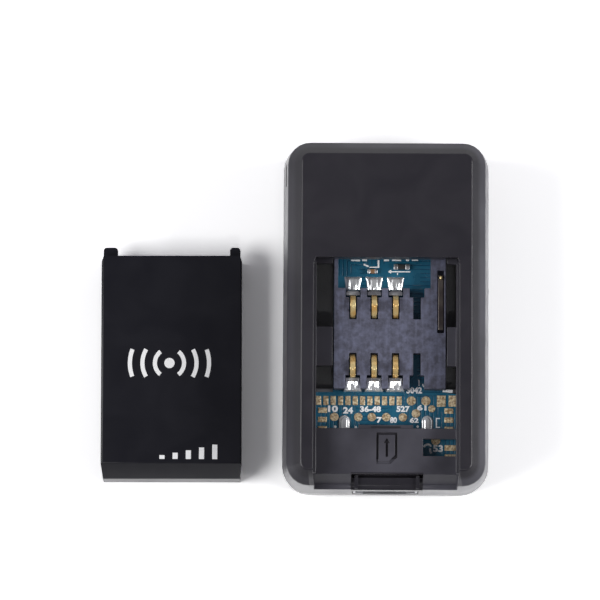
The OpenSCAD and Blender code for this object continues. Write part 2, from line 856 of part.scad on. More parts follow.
module card_detect_spring() {
  color([0.5, 0.44, 0.42])
    translate([detect_x - detect_w / 2, detect_root_y, detect_z]) {
      cube([detect_w, detect_l, detect_t]);
      translate([detect_w / 2, detect_l - detect_dome_r * 1.2, detect_t])
        cylinder(r1 = detect_dome_r * 0.8, r2 = detect_dome_r * 0.5, h = detect_t * 2, $fn = 24);
    }
}

module port_shell() {
  t = port_sheet_t;
  y0 = port_front_y;
  y1 = port_front_y + port_l;
  color([0.72, 0.73, 0.75]) {
    difference() {
      port_prism(y0, y1, 0);
      port_prism_inner(y0 - over, y1 + over);
    }
    for (side = [-1, 1])
      scale([side, 1, 1]) {
        block([port_w / 2 - t / 2, leg_y - leg_l / 2, board_z - t],
          [leg_spacing / 2 + leg_t / 2, leg_y + leg_l / 2, board_z]);
        block([leg_spacing / 2 - leg_t / 2, leg_y - leg_l / 2, board_z - t],
          [leg_spacing / 2 + leg_t / 2, leg_y + leg_l / 2, board_top + leg_rise]);
      }
  }
}

// The space inside the port's sheet steel
module port_prism_inner(y0, y1) {
  t = port_sheet_t;
  w = port_w / 2 - t;
  low_w = port_w / 2 * port_low_w_share - t / 2;
  translate([0, y1, board_z - port_h])
    rotate([90, 0, 0]) linear_extrude(y1 - y0)
      polygon([
        [-w, port_h - t], [-w, port_h * port_step_share], [-low_w, t],
        [low_w, t], [w, port_h * port_step_share], [w, port_h - t]
      ]);
}

tongue_w_share = 0.56;
tongue_t = 0.9;
tongue_z = board_z - port_h * 0.42;
tongue_base_l = 2.4;
tongue_front_gap = 1.1;

module port_tongue() {
  y1 = port_front_y + port_l;
  w = port_w * tongue_w_share / 2;
  color([0.12, 0.12, 0.13]) {
    port_prism_inner(y1 - tongue_base_l, y1);
    block([-w, port_front_y + tongue_front_gap, tongue_z - tongue_t],
      [w, y1 - tongue_base_l, tongue_z]);
  }
}

port_contact_count = 5;
port_contact_pitch = 0.8;
port_contact_w = 0.35;
port_contact_t = 0.1;

module port_contacts() {
  y1 = port_front_y + port_l - tongue_base_l;
  color([0.95, 0.75, 0.35])
    for (i = [0 : port_contact_count - 1]) {
      x = (i - (port_contact_count - 1) / 2) * port_contact_pitch;
      block([x - port_contact_w / 2, port_front_y + tongue_front_gap * 1.3,
          tongue_z - tongue_t - port_contact_t],
        [x + port_contact_w / 2, y1, tongue_z - tongue_t]);
    }
}

leg_solder_w = 1.32;
leg_solder_l = 2.7;
leg_solder_h = 0.4;

// Domed solder over each leg of the port, open where the leg comes through
module leg_solder() {
  w = leg_solder_w;
  l = leg_solder_l;
  color([0.86, 0.87, 0.88])
    for (side = [-1, 1])
      translate([side * leg_spacing / 2, leg_y, 0])
        difference() {
          lofted([
            [w, l, w * 0.48, board_top],
            [w * 0.85, l - w * 0.15, w * 0.4, board_top + leg_solder_h * 0.6],
            [w * 0.5, l - w * 0.5, w * 0.24, board_top + leg_solder_h]
          ]);
          translate([-leg_t / 2, -leg_l / 2, board_top - over]) cube([leg_t, leg_l, leg_rise + over]);
        }
}

shield_gap = 0.5;
shield_y0 = waist_far_y + shield_gap;
shield_x = shield_w_share;
shield_w = board_half_w * 2 * shield_w_share;
shield_end_gap = 1.3;
shield_l = board_far_y - shield_end_gap - shield_y0;

module radio_shield() {
  t = shield_sheet_t;
  color([0.76, 0.77, 0.78])
    translate([shield_x - shield_w / 2, shield_y0, board_top])
      difference() {
        cube([shield_w, shield_l, shield_h]);
        translate([t, t, -over]) cube([shield_w - 2 * t, shield_l - 2 * t, shield_h - t + over]);
      }
}

module radio_chip() {
  side = shield_l * 0.62;
  color([0.1, 0.1, 0.11])
    translate([shield_x - side / 2, shield_y0 + (shield_l - side) / 2, board_top])
      cube([side, side, chip_t]);
}

antenna_w = 2;
antenna_l = shield_l * 0.83;
antenna_h = 1.2;
antenna_edge_gap = 0.3;

module chip_antenna() {
  color([0.92, 0.9, 0.85])
    translate([board_half_w - antenna_w - antenna_edge_gap, shield_y0 + fit_gap, board_top])
      cube([antenna_w, antenna_l, antenna_h]);
}

mic_w = 2.6;
mic_l = 3.4;
mic_h = 1;
mic_port_d = 0.6;
mic_edge_gap = 0.2;

module microphone() {
  color([0.75, 0.72, 0.6])
    translate([-board_half_w + mic_edge_gap, sound_y - mic_l / 2, board_top])
      difference() {
        cube([mic_w, mic_l, mic_h]);
        translate([mic_w / 3, mic_l / 2, mic_h / 2]) cylinder(d = mic_port_d, h = mic_h, $fn = 24);
      }
}

module under_chip(x, y, w, l, t) {
  block([x - w / 2, y - l / 2, board_z - t], [x + w / 2, y + l / 2, board_z]);
}

under_side = 4;
memory_l = 6;
memory_x = 3.2;
power_x = -2.6;
crystal_l = 3.2;
crystal_w = 2.5;
crystal_t = 0.7;

module power_chip() {
  color([0.1, 0.1, 0.11]) under_chip(power_x, cell_far_y * 0.55, under_side, under_side, chip_t);
}

module memory_chip() {
  color([0.12, 0.12, 0.13]) under_chip(memory_x, cell_far_y * 0.6, under_side, memory_l, chip_t);
}

module crystal() {
  color([0.8, 0.78, 0.7]) under_chip(0, cell_far_y * 0.15, crystal_l, crystal_w, crystal_t);
}

// Two small parts in the window of the socket, each with its width, length and place
brown_size = [1.45, 0.55, 0.5];
brown_place = [-1.64, 7.96];
black_size = [1.9, 0.65, 0.5];
black_place = [1.84, 8.51];

module small_part(size, place) {
  translate([place[0] - size[0] / 2, contact_mid_y + place[1] - size[1] / 2, board_top]) cube(size);
}

module small_chips() {
  color([0.62, 0.5, 0.38]) {
    small_part(brown_size, brown_place);
    small_part(black_size, black_place);
  }
}

// The cover in its seat
module seated_cover() {
  slope_far_y = slope_foot_y + (ledge_z - lip_z) * (step_y - slope_foot_y) / (card_floor_z - lip_z);
  difference() {
    intersection() {
      translate([0, 0, lip_z - over]) linear_extrude(case_h) cover_plan(0);
      along_x(-half_w, half_w, [
        [bay_far_y, case_h], [bay_far_y, ledge_z], [slope_far_y - cover_wall_gap * 2, ledge_z],
        [slope_foot_y - cover_wall_gap, lip_z], [end_wall_y(lip_z), lip_z],
        [end_wall_y(bevel_z), bevel_z], [flat_end_y, case_h]
      ]);
    }
    for (side = [-1, 1])
      scale([side, 1, 1])
        translate([cover_w / 2, bay_far_y, case_h]) rotate([90, 0, 0])
          linear_extrude(bay_far_y - flat_end_y)
            polygon([[-cover_edge, over / 5], [over / 5, -cover_edge],
              [over / 5, over / 5]]);
  }
  cover_hook(left_hook_x, left_hook_x + left_hook_w, left_hook_x + left_hook_w);
  cover_hook(right_hook_x - right_hook_w, right_hook_x, right_hook_x);
  latch_tongue();
}

// One hook: a leg that stands in the gap beside the socket, and a nose that goes under the deck
module cover_hook(x0, x1, corner_x) {
  leg_far_y = bay_far_y - shelf_l - hook_leg_gap;
  leg_x0 = x0 > 0 ? max(x0, waist_right_x + hook_leg_gap) : x0;
  leg_x1 = x0 > 0 ? x1 : min(x1, waist_left_x - hook_leg_gap);
  nose_far_y = cover_far_y + hook_reach;
  r = hook_corner_r;
  translate([0, 0, ledge_z - hook_t])
    linear_extrude(hook_t)
      hull() {
        translate([x0, leg_far_y - hook_leg_l]) square([x1 - x0, hook_leg_l]);
        for (x = [x0 + r, x1 - r]) translate([x, nose_far_y - r]) circle(r = r, $fn = 32);
      }
  block([leg_x0, leg_far_y - hook_leg_l, lip_z], [leg_x1, leg_far_y, ledge_z]);
}

// The tongue that snaps into the notch, under the end lip
tongue_side_gap = 0.5;

module latch_tongue() {
  half = notch_w / 2 - notch_rib_in - notch_rib_w / 2 - tongue_side_gap;
  y0 = step_y - cover_wall_gap;
  y1 = slope_foot_y - cover_wall_gap * 2;
  along_x(notch_mid_x - half, notch_mid_x + half, [
    [y0, card_floor_z + card_gap], [y0, notch_floor_z(y0) + cover_wall_gap * 2],
    [y1, max(notch_floor_z(y1) + cover_wall_gap, lip_z)],
    [y1, lip_z + lip_drop / 3]
  ]);
}

cover_rest_x = -(half_w + cover_beside_gap + cover_w / 2);

module cover_panel() {
  color([0.13, 0.13, 0.15])
    translate([cover_rest_x, cover_beside_shift, -lip_z])
      rotate([0, 0, cover_beside_turn]) seated_cover();
}

top_housing();
bottom_housing();
magnet_far();
magnet_near();
cell_tape();
battery_cell();
cell_guard_board();
cell_foam();
red_lead();
black_lead();
main_board();
gold_pads();
socket_frame();
contact_far_1();
contact_far_2();
contact_far_3();
contact_near_1();
contact_near_2();
contact_near_3();
contact_tails();
tail_solder();
card_detect_spring();
port_shell();
port_tongue();
port_contacts();
leg_solder();
radio_shield();
radio_chip();
chip_antenna();
microphone();
power_chip();
memory_chip();
crystal();
small_chips();
cover_panel();
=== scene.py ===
# %% [markdown]
# A small magnetic tracker, with the cover of its card bay lying beside it. The solid parts come
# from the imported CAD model, in metres, and already stand where they belong. This lesson dresses
# them: it softens the moulded edges, adds the wetted solder, a gilt dimple and the printed marks
# that the CAD model leaves out, and gives every surface a material built from nodes.

# %% Load the fixed frame
import math

import bmesh
import bpy
from mathutils import Matrix, Vector


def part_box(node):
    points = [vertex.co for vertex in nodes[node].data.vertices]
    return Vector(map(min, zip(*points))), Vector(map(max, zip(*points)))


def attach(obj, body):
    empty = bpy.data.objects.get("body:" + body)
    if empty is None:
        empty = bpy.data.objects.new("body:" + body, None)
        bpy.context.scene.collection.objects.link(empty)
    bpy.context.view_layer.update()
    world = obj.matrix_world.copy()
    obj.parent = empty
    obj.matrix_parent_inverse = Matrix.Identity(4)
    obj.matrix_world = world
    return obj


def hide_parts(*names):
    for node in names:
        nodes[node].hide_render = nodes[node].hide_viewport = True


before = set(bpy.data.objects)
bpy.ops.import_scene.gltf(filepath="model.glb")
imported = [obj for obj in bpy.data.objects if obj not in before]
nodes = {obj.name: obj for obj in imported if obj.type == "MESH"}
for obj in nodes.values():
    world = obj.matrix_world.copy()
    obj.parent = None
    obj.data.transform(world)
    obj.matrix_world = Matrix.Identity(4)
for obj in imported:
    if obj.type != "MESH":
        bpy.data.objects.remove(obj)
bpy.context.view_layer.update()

MM = 0.001

# %% [markdown]
# Everything stacks on a few heights of the real object: the board's top, the front face, and the
# cover's face as it lies on the table. They could be typed in from the drawing. The bounding
# boxes of the nodes give them instead, so that no height is written down twice.

# %% Heights and places read from the nodes
def top_of(name):
    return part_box(name)[1][2]


def middle_of(name):
    low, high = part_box(name)
    return Vector([(a + b) / 2 for a, b in zip(low, high)])


BOARD_TOP = top_of("main_board")
FRONT = top_of("top_housing")
COVER_FACE = top_of("cover_panel")
for label, height in (("board", BOARD_TOP), ("front", FRONT), ("cover", COVER_FACE)):
    print("top of the %s at z %.2f mm" % (label, height / MM))

# %% [markdown]
# A node tree takes many lines when every node is made, set and linked by hand, so a few helpers
# do it. Each input takes a socket, which is linked, or a plain value, which is set. Each helper
# returns an output socket, so that a chain of calls reads like a formula.

# %% Helpers for node trees
def node(tree, kind, **settings):
    made = tree.nodes.new(kind)
    for key, value in settings.items():
        setattr(made, key, value)
    return made


def feed(tree, value, socket):
    if isinstance(value, bpy.types.NodeSocket):
        tree.links.new(value, socket)
    elif socket.type == "RGBA":
        socket.default_value = (*value, 1.0)
    else:
        socket.default_value = value


def maths(tree, operation, *values):
    made = node(tree, "ShaderNodeMath", operation=operation)
    for value, socket in zip(values, made.inputs):
        feed(tree, value, socket)
    return made.outputs[0]


# %% Helpers that mix, stretch, draw noise and split a vector
MIX_SOCKETS = {"FLOAT": (2, 3, 0), "RGBA": (6, 7, 2)}


def mixed(tree, share, first, second, kind="RGBA"):
    made = node(tree, "ShaderNodeMix", data_type=kind)
    first_in, second_in, result = MIX_SOCKETS[kind]
    feed(tree, share, made.inputs[0])
    feed(tree, first, made.inputs[first_in])
    feed(tree, second, made.inputs[second_in])
    return made.outputs[result]


def map_range(tree, value, limits, low=0.0, high=1.0, kind="LINEAR"):
    made = node(tree, "ShaderNodeMapRange", interpolation_type=kind)
    labels = ("Value", "From Min", "From Max", "To Min", "To Max")
    for label, given in zip(labels, (value, *limits, low, high)):
        feed(tree, given, made.inputs[label])
    return made.outputs["Result"]


def noise(tree, coords, scale, **looks):
    made = node(tree, "ShaderNodeTexNoise")
    for label, value in dict(looks, Vector=coords, Scale=scale).items():
        feed(tree, value, made.inputs[label])
    return made.outputs["Fac"]


def axes_of(tree, vector):
    made = node(tree, "ShaderNodeSeparateXYZ")
    tree.links.new(vector, made.inputs[0])
    return made.outputs


# %% [markdown]
# Moulded plastic has a fine spark-eroded grain and, over it, faint smears of handling. Many parts
# show both, so a node group holds them once and each material only sets their sizes. A noise
# texture is enough for each: the grain is smaller than a pixel, and only has to break up the
# highlight. Noise seldom leaves the middle of its range, so the smear is stretched to fill it.

# %% The moulded grain group
NOISE_MIDDLE = (0.35, 0.65)


def fresh_group(name, sizes, outputs):
    group = bpy.data.node_groups.new(name, "ShaderNodeTree")
    group.interface.new_socket("Vector", in_out="INPUT", socket_type="NodeSocketVector")
    for label, value in sizes.items():
        socket = group.interface.new_socket(label, in_out="INPUT", socket_type="NodeSocketFloat")
        socket.default_value = value
    for label in outputs:
        group.interface.new_socket(label, in_out="OUTPUT", socket_type="NodeSocketFloat")
    given = group.nodes.new("NodeGroupInput").outputs
    result = group.nodes.new("NodeGroupOutput").inputs
    return group, given, result


def build_grain_group():
    group, given, result = fresh_group(
        "moulded_grain", {"Grain Scale": 9000.0, "Smear Scale": 180.0}, ("Height", "Smear"))
    grain = noise(group, given["Vector"], given["Grain Scale"], Detail=3.0)
    smear = noise(group, given["Vector"], given["Smear Scale"], Detail=4.0, Distortion=0.6)
    feed(group, grain, result["Height"])
    feed(group, map_range(group, smear, NOISE_MIDDLE), result["Smear"])
    return group


GRAIN = build_grain_group()
print("group:", GRAIN.name, "with", len(GRAIN.nodes), "nodes")

# %% [markdown]
# Thin sheet metal on a small product is rolled, so its scratches run one way, and tin and nickel
# go cloudy in patches. Stretching a noise texture with a Mapping node gives the first, and a
# second noise at a larger size the other. They leave the group as separate masks.

# %% The rolled metal group
ROLLING_STRETCH = (1.0, 0.06, 1.0)


def build_rolled_group():
    group, given, result = fresh_group(
        "rolled_metal", {"Scale": 1500.0, "Cloud Scale": 700.0}, ("Lines", "Cloud"))
    stretch = node(group, "ShaderNodeMapping")
    stretch.inputs["Scale"].default_value = ROLLING_STRETCH
    feed(group, given["Vector"], stretch.inputs["Vector"])
    lines = noise(group, stretch.outputs["Vector"], given["Scale"], Detail=5.0)
    cloud = noise(group, given["Vector"], given["Cloud Scale"], Detail=2.0)
    feed(group, lines, result["Lines"])
    feed(group, map_range(group, cloud, NOISE_MIDDLE), result["Cloud"])
    return group


ROLLED = build_rolled_group()
print("group:", ROLLED.name, "with", len(ROLLED.nodes), "nodes")

# %% [markdown]
# A material is then a short recipe: two close colours mixed by the smear or the cloud, a
# roughness that wanders between two values, and a bump from the grain or the scratches. Values
# that are the same all over, such as the specular level, are set on the shader's own socket,
# because only there does an exported model keep them.

# %% The plastic recipe
def start_material(name):
    material = bpy.data.materials.new(name + "_finish")
    material["slot"] = name
    material.use_nodes = True
    tree = material.node_tree
    tree.nodes.clear()
    output = node(tree, "ShaderNodeOutputMaterial")
    shader = node(tree, "ShaderNodeBsdfPrincipled")
    tree.links.new(shader.outputs["BSDF"], output.inputs["Surface"])
    place = node(tree, "ShaderNodeTexCoord")
    return material, tree, shader, place.outputs["Object"]


def placed_group(tree, group, coords, sizes):
    made = node(tree, "ShaderNodeGroup", node_tree=group)
    tree.links.new(coords, made.inputs["Vector"])
    for label, value in sizes.items():
        made.inputs[label].default_value = value
    return made.outputs


def surface(tree, shader, mask, colours, rough, height, depth):
    feed(tree, mixed(tree, mask, *colours), shader.inputs["Base Color"])
    feed(tree, map_range(tree, mask, (0.0, 1.0), *rough), shader.inputs["Roughness"])
    bump = node(tree, "ShaderNodeBump")
    feed(tree, height, bump.inputs["Height"])
    feed(tree, depth, bump.inputs["Distance"])
    feed(tree, bump.outputs["Normal"], shader.inputs["Normal"])


def count_finishes():
    return sum(m.name.endswith("_finish") for m in bpy.data.materials)


def plastic(name, first, second, rough, grain=9000.0, depth=0.004 * MM, specular=0.5):
    material, tree, shader, coords = start_material(name)
    masks = placed_group(tree, GRAIN, coords, {"Grain Scale": grain})
    surface(tree, shader, masks["Smear"], (first, second), rough, masks["Height"], depth)
    shader.inputs["Specular IOR Level"].default_value = specular
    return material


# %% The metal recipe
def metal(name, first, second, rough, scale=1500.0, depth=0.003 * MM, metallic=1.0, cloud=700.0):
    material, tree, shader, coords = start_material(name)
    masks = placed_group(tree, ROLLED, coords, {"Scale": scale, "Cloud Scale": cloud})
    surface(tree, shader, masks["Cloud"], (first, second), rough, masks["Lines"], depth)
    shader.inputs["Metallic"].default_value = metallic
    return material


# %% [markdown]
# The case is black ABS with a fine grain, a little violet in daylight. Inside the bay a lighter
# colour paints a broad soft highlight on the floor, in cloudy patches. A second material could do
# that, but its border would have to follow edges of the mesh. One more mask is softer: it reads
# the height of a point over the table and mixes in the lighter colour below the front face, less
# at the left, which is painted shade where the bay's left wall shades the floor. The grooves of
# the card mark and the notch for the latch are painted in shade: a box around each keeps the
# darker colour.

# %% The case plastic, with a painted highlight and painted shade in its bay
BAY_DEPTHS = (0.9 * MM, 1.5 * MM)
# painted highlight: the lighter bay colour comes in cloudy patches of this size and range
BAY_HIGHLIGHT_SCALE = 190.0
BAY_HIGHLIGHT_LIMITS = (0.3, 0.62)
BAY_HIGHLIGHT_LEAST = 0.45
# painted shade: towards the bay's left wall, which shades its floor, less of the lighter colour
LEFT_SHADE_SPAN = (-8.0 * MM, -4.0 * MM)
LEFT_SHADE_LEAST = 0.3
CASE_SPECULAR = 0.42
# painted shade: a box round the card mark's grooves and one round the latch notch keep the darker
# colour
SHADED_RECESSES = {
    "card mark": ((0.0, -14.9 * MM, 11.2 * MM), (1.75 * MM, 2.4 * MM, 0.14 * MM)),
    "latch notch": ((0.17 * MM, -20.2 * MM, 9.5 * MM), (4.3 * MM, 1.3 * MM, 3.0 * MM)),
}


def outside_box(tree, coords, middle, reach):
    shift = node(tree, "ShaderNodeMapping", vector_type="TEXTURE")
    shift.inputs["Location"].default_value = middle
    shift.inputs["Scale"].default_value = reach
    tree.links.new(coords, shift.inputs["Vector"])
    size = node(tree, "ShaderNodeVectorMath", operation="ABSOLUTE")
    tree.links.new(shift.outputs["Vector"], size.inputs[0])
    x, y, z = axes_of(tree, size.outputs["Vector"])
    largest = maths(tree, "MAXIMUM", maths(tree, "MAXIMUM", x, y), z)
    return maths(tree, "GREATER_THAN", largest, 1.0)


def case_plastic(name, first, second, bay, rough):
    material = plastic(name, first, second, rough, specular=CASE_SPECULAR)
    tree = material.node_tree
    shader = next(n for n in tree.nodes if n.type == "BSDF_PRINCIPLED")
    face = shader.inputs["Base Color"].links[0].from_socket
    place = next(n for n in tree.nodes if n.type == "TEX_COORD").outputs["Object"]
    axes = axes_of(tree, place)
    deep = map_range(tree, axes["Z"], [FRONT - depth for depth in BAY_DEPTHS])
    # painted highlight in cloudy patches, below the front face only
    cloud = noise(tree, place, BAY_HIGHLIGHT_SCALE, Detail=3.0)
    painted_highlight_patches = map_range(tree, cloud, BAY_HIGHLIGHT_LIMITS, BAY_HIGHLIGHT_LEAST)
    # painted shade towards the left wall of the bay
    painted_left_shade = map_range(tree, axes["X"], LEFT_SHADE_SPAN, LEFT_SHADE_LEAST, kind="SMOOTHSTEP")
    mask = maths(tree, "MULTIPLY", maths(tree, "MULTIPLY", deep, painted_highlight_patches), painted_left_shade)
    # painted shade in the card mark's grooves and in the latch notch
    for middle, reach in SHADED_RECESSES.values():
        mask = maths(tree, "MULTIPLY", mask, outside_box(tree, place, middle, reach))
    feed(tree, mixed(tree, mask, face, bay), shader.inputs["Base Color"])
    return material


# %% [markdown]
# The lower shell is the same plastic, a little darker and without the bay, and the cover comes
# from another mould, smoother and darker still. The rest are the plastics, ceramics and sleeves
# that any such device has inside. Each is one call of the recipe, with its two colours first.

# %% The finishes of the case, the cover and what is not metal
# the third colour, lighter, is mixed into the bay as a painted highlight
CASE = case_plastic("case_upper", (0.025, 0.0235, 0.03), (0.031, 0.029, 0.036),
                    (0.082, 0.08, 0.098), (0.28, 0.36))
CASE_LOW = plastic("case_lower", (0.015, 0.0145, 0.0175), (0.02, 0.019, 0.023), (0.3, 0.38),
                   specular=CASE_SPECULAR)
COVER = plastic("cover_plastic", (0.0105, 0.0105, 0.015), (0.0135, 0.0135, 0.0185), (0.28, 0.34),
                depth=0.002 * MM, specular=0.3)
PORT_PLASTIC = plastic("port_plastic", (0.5, 0.45, 0.38), (0.58, 0.53, 0.46), (0.45, 0.6))
FOAM = plastic("foam", (0.3, 0.3, 0.31), (0.38, 0.38, 0.39), (0.85, 0.95), grain=2500.0,
               depth=0.05 * MM, specular=0.2)
EPOXY = plastic("chip_epoxy", (0.013, 0.013, 0.014), (0.02, 0.02, 0.021), (0.5, 0.65),
                grain=6000.0, depth=0.006 * MM)
CERAMIC = plastic("ceramic", (0.74, 0.7, 0.62), (0.8, 0.77, 0.7), (0.35, 0.5), grain=5000.0)
SMALL_PART = plastic("small_part", (0.22, 0.12, 0.06), (0.3, 0.17, 0.09), (0.3, 0.42),
                     grain=5000.0)
ADHESIVE = plastic("adhesive", (0.7, 0.67, 0.58), (0.76, 0.73, 0.64), (0.6, 0.75), grain=5000.0)
RED_SLEEVE = plastic("red_sleeve", (0.5, 0.015, 0.012), (0.6, 0.03, 0.02), (0.3, 0.42))
BLACK_SLEEVE = plastic("black_sleeve", (0.012, 0.012, 0.012), (0.018, 0.018, 0.018), (0.3, 0.42))
GUARD_BOARD = plastic("guard_board", (0.015, 0.12, 0.05), (0.02, 0.16, 0.07), (0.3, 0.4),
                      grain=3000.0)
PRINT_WHITE = plastic("print_white", (0.97, 0.97, 0.98), (1.0, 1.0, 1.0), (0.5, 0.6),
                      grain=7000.0)
print("finishes made:", count_finishes())

# %% [markdown]
# The socket is moulded in a glass-filled plastic. The fibres lie near its surface, so under a
# lens it is mottled, in spots of a few tenths of a millimetre drawn out along the flow of the
# melt. The rolled-metal group already stretches a noise that way, so it serves here as well.

# %% The socket plastic
FIBRE_SCALE = 2600.0
FIBRE_SHARE = 0.4
SPOT_SCALE = 1300.0
MOTTLE_LIMITS = (0.55, 0.88)
MOTTLE_DEPTH = 0.012 * MM


def filled_plastic(name, dark, light):
    material, tree, shader, coords = start_material(name)
    masks = placed_group(tree, ROLLED, coords, {"Scale": FIBRE_SCALE})
    spots = noise(tree, coords, SPOT_SCALE, Detail=7.0, Roughness=0.62, Distortion=0.25)
    both = maths(tree, "MULTIPLY_ADD", masks["Lines"], FIBRE_SHARE, spots)
    mottle = map_range(tree, both, MOTTLE_LIMITS)
    surface(tree, shader, mottle, (dark, light), (0.55, 0.38), mottle, MOTTLE_DEPTH)
    return material


SOCKET = filled_plastic("socket_plastic", (0.066, 0.067, 0.096), (0.152, 0.16, 0.235))
print("socket plastic:", len(SOCKET.node_tree.nodes), "nodes")

# %% [markdown]
# Gold that is flashed thinly over nickel is pale and patchy, so the pads mix a brown and a cream.
# A fully metallic surface shows only what it mirrors, which in a small bay is mostly black
# plastic. Flux and fine roughness make the real gold and solder scatter light as well, and a
# metallic value between one half and two thirds stands for that.

# %% The finishes of the metal parts
GOLD = metal("spring_gold", (1.0, 0.6, 0.2), (1.0, 0.8, 0.4), (0.16, 0.28), 2500.0, metallic=0.5)
PAD_GOLD = metal("pad_gold", (0.45, 0.29, 0.15), (1.0, 0.85, 0.58), (0.32, 0.5), 3500.0,
                 depth=0.012 * MM, metallic=0.5, cloud=4200.0)
TINNED = metal("tinned", (0.7, 0.7, 0.72), (0.86, 0.86, 0.87), (0.25, 0.4))
SOLDER = metal("solder", (0.84, 0.85, 0.87), (0.95, 0.96, 0.97), (0.12, 0.22), 2600.0,
               depth=0.008 * MM, metallic=0.65)
BRONZE = metal("detect_bronze", (0.13, 0.11, 0.105), (0.19, 0.165, 0.15), (0.35, 0.5))
STEEL = metal("shell_steel", (0.3, 0.31, 0.33), (0.38, 0.38, 0.4), (0.42, 0.55))
SHIELD = metal("shield_tin", (0.56, 0.56, 0.57), (0.66, 0.66, 0.67), (0.3, 0.42), 1200.0)
NICKEL = metal("magnet_metal", (0.56, 0.56, 0.57), (0.66, 0.66, 0.68), (0.2, 0.32), 900.0)
FOIL = metal("cell_foil", (0.6, 0.61, 0.63), (0.7, 0.71, 0.73), (0.28, 0.4), 800.0,
             depth=0.006 * MM)
MIC_CAN = metal("mic_can", (0.55, 0.46, 0.28), (0.65, 0.55, 0.35), (0.28, 0.4))
CRYSTAL_CAN = metal("crystal_can", (0.6, 0.58, 0.52), (0.68, 0.66, 0.6), (0.25, 0.35))
print("finishes made:", count_finishes())

# %% [markdown]
# The board is glass laminate under a blue-green solder mask. Copper under the mask makes it
# lighter, and the gaps etched between the tracks show through as thin darker lines, in bundles
# that run either across the board or along it. Two wave textures draw the two sets of lines, and
# the random colour of a Voronoi cell decides for each patch of the board which set it has, if any.

# %% The solder mask material
LINE_SCALE = 640.0
LINE_LIMITS = (0.8, 0.95)
PATCH_SCALE = 300.0
ACROSS_SHARE = 0.5
BARE_SHARE = 0.35
COPPER_TONES = ((0.013, 0.108, 0.186), (0.017, 0.136, 0.226))
GAP_TONE = (0.005, 0.066, 0.128)
GAP_DEPTH = 0.015 * MM
MASK_SMEAR_SCALE = 420.0


def etched_lines(tree, coords, direction):
    wave = node(tree, "ShaderNodeTexWave", wave_type="BANDS", bands_direction=direction)
    wave.inputs["Scale"].default_value = LINE_SCALE
    tree.links.new(coords, wave.inputs["Vector"])
    return map_range(tree, wave.outputs["Fac"], LINE_LIMITS)


def solder_mask(name):
    material, tree, shader, coords = start_material(name)
    patches = node(tree, "ShaderNodeTexVoronoi", distance="CHEBYCHEV", feature="F1")
    patches.inputs["Scale"].default_value = PATCH_SCALE
    tree.links.new(coords, patches.inputs["Vector"])
    dice = node(tree, "ShaderNodeSeparateColor")
    tree.links.new(patches.outputs["Color"], dice.inputs[0])
    turned = maths(tree, "GREATER_THAN", dice.outputs[0], ACROSS_SHARE)
    lines = mixed(tree, turned, etched_lines(tree, coords, "X"), etched_lines(tree, coords, "Y"),
                  "FLOAT")
    lined = maths(tree, "GREATER_THAN", dice.outputs[1], BARE_SHARE)
    gaps = maths(tree, "MULTIPLY", lines, lined)
    smear = placed_group(tree, GRAIN, coords, {"Smear Scale": MASK_SMEAR_SCALE})["Smear"]
    surface(tree, shader, smear, COPPER_TONES, (0.22, 0.34), gaps, -GAP_DEPTH)
    copper = shader.inputs["Base Color"].links[0].from_socket
    feed(tree, mixed(tree, gaps, copper, GAP_TONE), shader.inputs["Base Color"])
    return material


BOARD_MASK = solder_mask("board_mask")
print("solder mask:", len(BOARD_MASK.node_tree.nodes), "nodes")

# %% [markdown]
# Every CAD node gets its finish by name. Parts whose shape is already right, such as the cell and
# the chips, need no more than that. The others are replaced further down by a softened copy,
# which takes the same finish.

# %% Give the CAD nodes their finishes
COLUMNS = (1, 2, 3)
SPRINGS = ["contact_%s_%d" % (row, column) for row in ("far", "near") for column in COLUMNS]
FINISHES = {
    "bottom_housing": CASE_LOW, "top_housing": CASE, "cover_panel": COVER,
    "main_board": BOARD_MASK, "gold_pads": PAD_GOLD, "socket_frame": SOCKET,
    "contact_tails": TINNED, "tail_solder": SOLDER, "leg_solder": SOLDER,
    "card_detect_spring": BRONZE, "port_shell": STEEL, "port_tongue": PORT_PLASTIC,
    "port_contacts": GOLD, "radio_shield": SHIELD, "radio_chip": EPOXY, "power_chip": EPOXY,
    "memory_chip": EPOXY, "crystal": CRYSTAL_CAN, "chip_antenna": CERAMIC,
    "microphone": MIC_CAN, "small_chips": SMALL_PART, "battery_cell": FOIL,
    "cell_guard_board": GUARD_BOARD, "cell_foam": FOAM, "cell_tape": ADHESIVE,
    "red_lead": RED_SLEEVE, "black_lead": BLACK_SLEEVE, "magnet_far": NICKEL,
    "magnet_near": NICKEL, **{name: GOLD for name in SPRINGS},
}


def finish(piece, material):
    piece.data.materials.clear()
    piece.data.materials.append(material)


for name, material in FINISHES.items():
    finish(nodes[name], material)
print("finished nodes:", len(FINISHES), "of", len(nodes))

# %% [markdown]
# A mould never leaves a razor edge, and the thin bright line on a softened edge is what makes
# plastic read as plastic. A Bevel modifier would give all edges one width, so bmesh does it here:
# the CAD solid is copied, its loose triangles are merged into flat faces, and every edge that
# turns more than a set angle is bevelled. The long outer edges take a wide bevel first, crowded
# spots a tiny one, and all the rest a fine one. Blender's own overlap guard narrows a whole bevel
# to what its tightest spot allows, so it stays off, and edges too short to carry a bevel are left
# alone instead. Points that fall together at sharp corners are merged, since a face with a
# doubled corner shades wrongly all over. The softened copy then stands for the node.


def mesh_from(work, name, smooth=True, sharp=None):
    mesh = bpy.data.meshes.new(name)
    work.to_mesh(mesh)
    work.free()
    if smooth:
        mesh.shade_smooth()
    if sharp is not None:
        mesh.set_sharp_from_angle(angle=math.radians(sharp))
    return mesh


def new_piece(name, mesh, material, body, replaced=None):
    piece = bpy.data.objects.new(name, mesh)
    bpy.context.scene.collection.objects.link(piece)
    finish(piece, material)
    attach(piece, body)
    if replaced:
        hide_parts(replaced)
    return piece


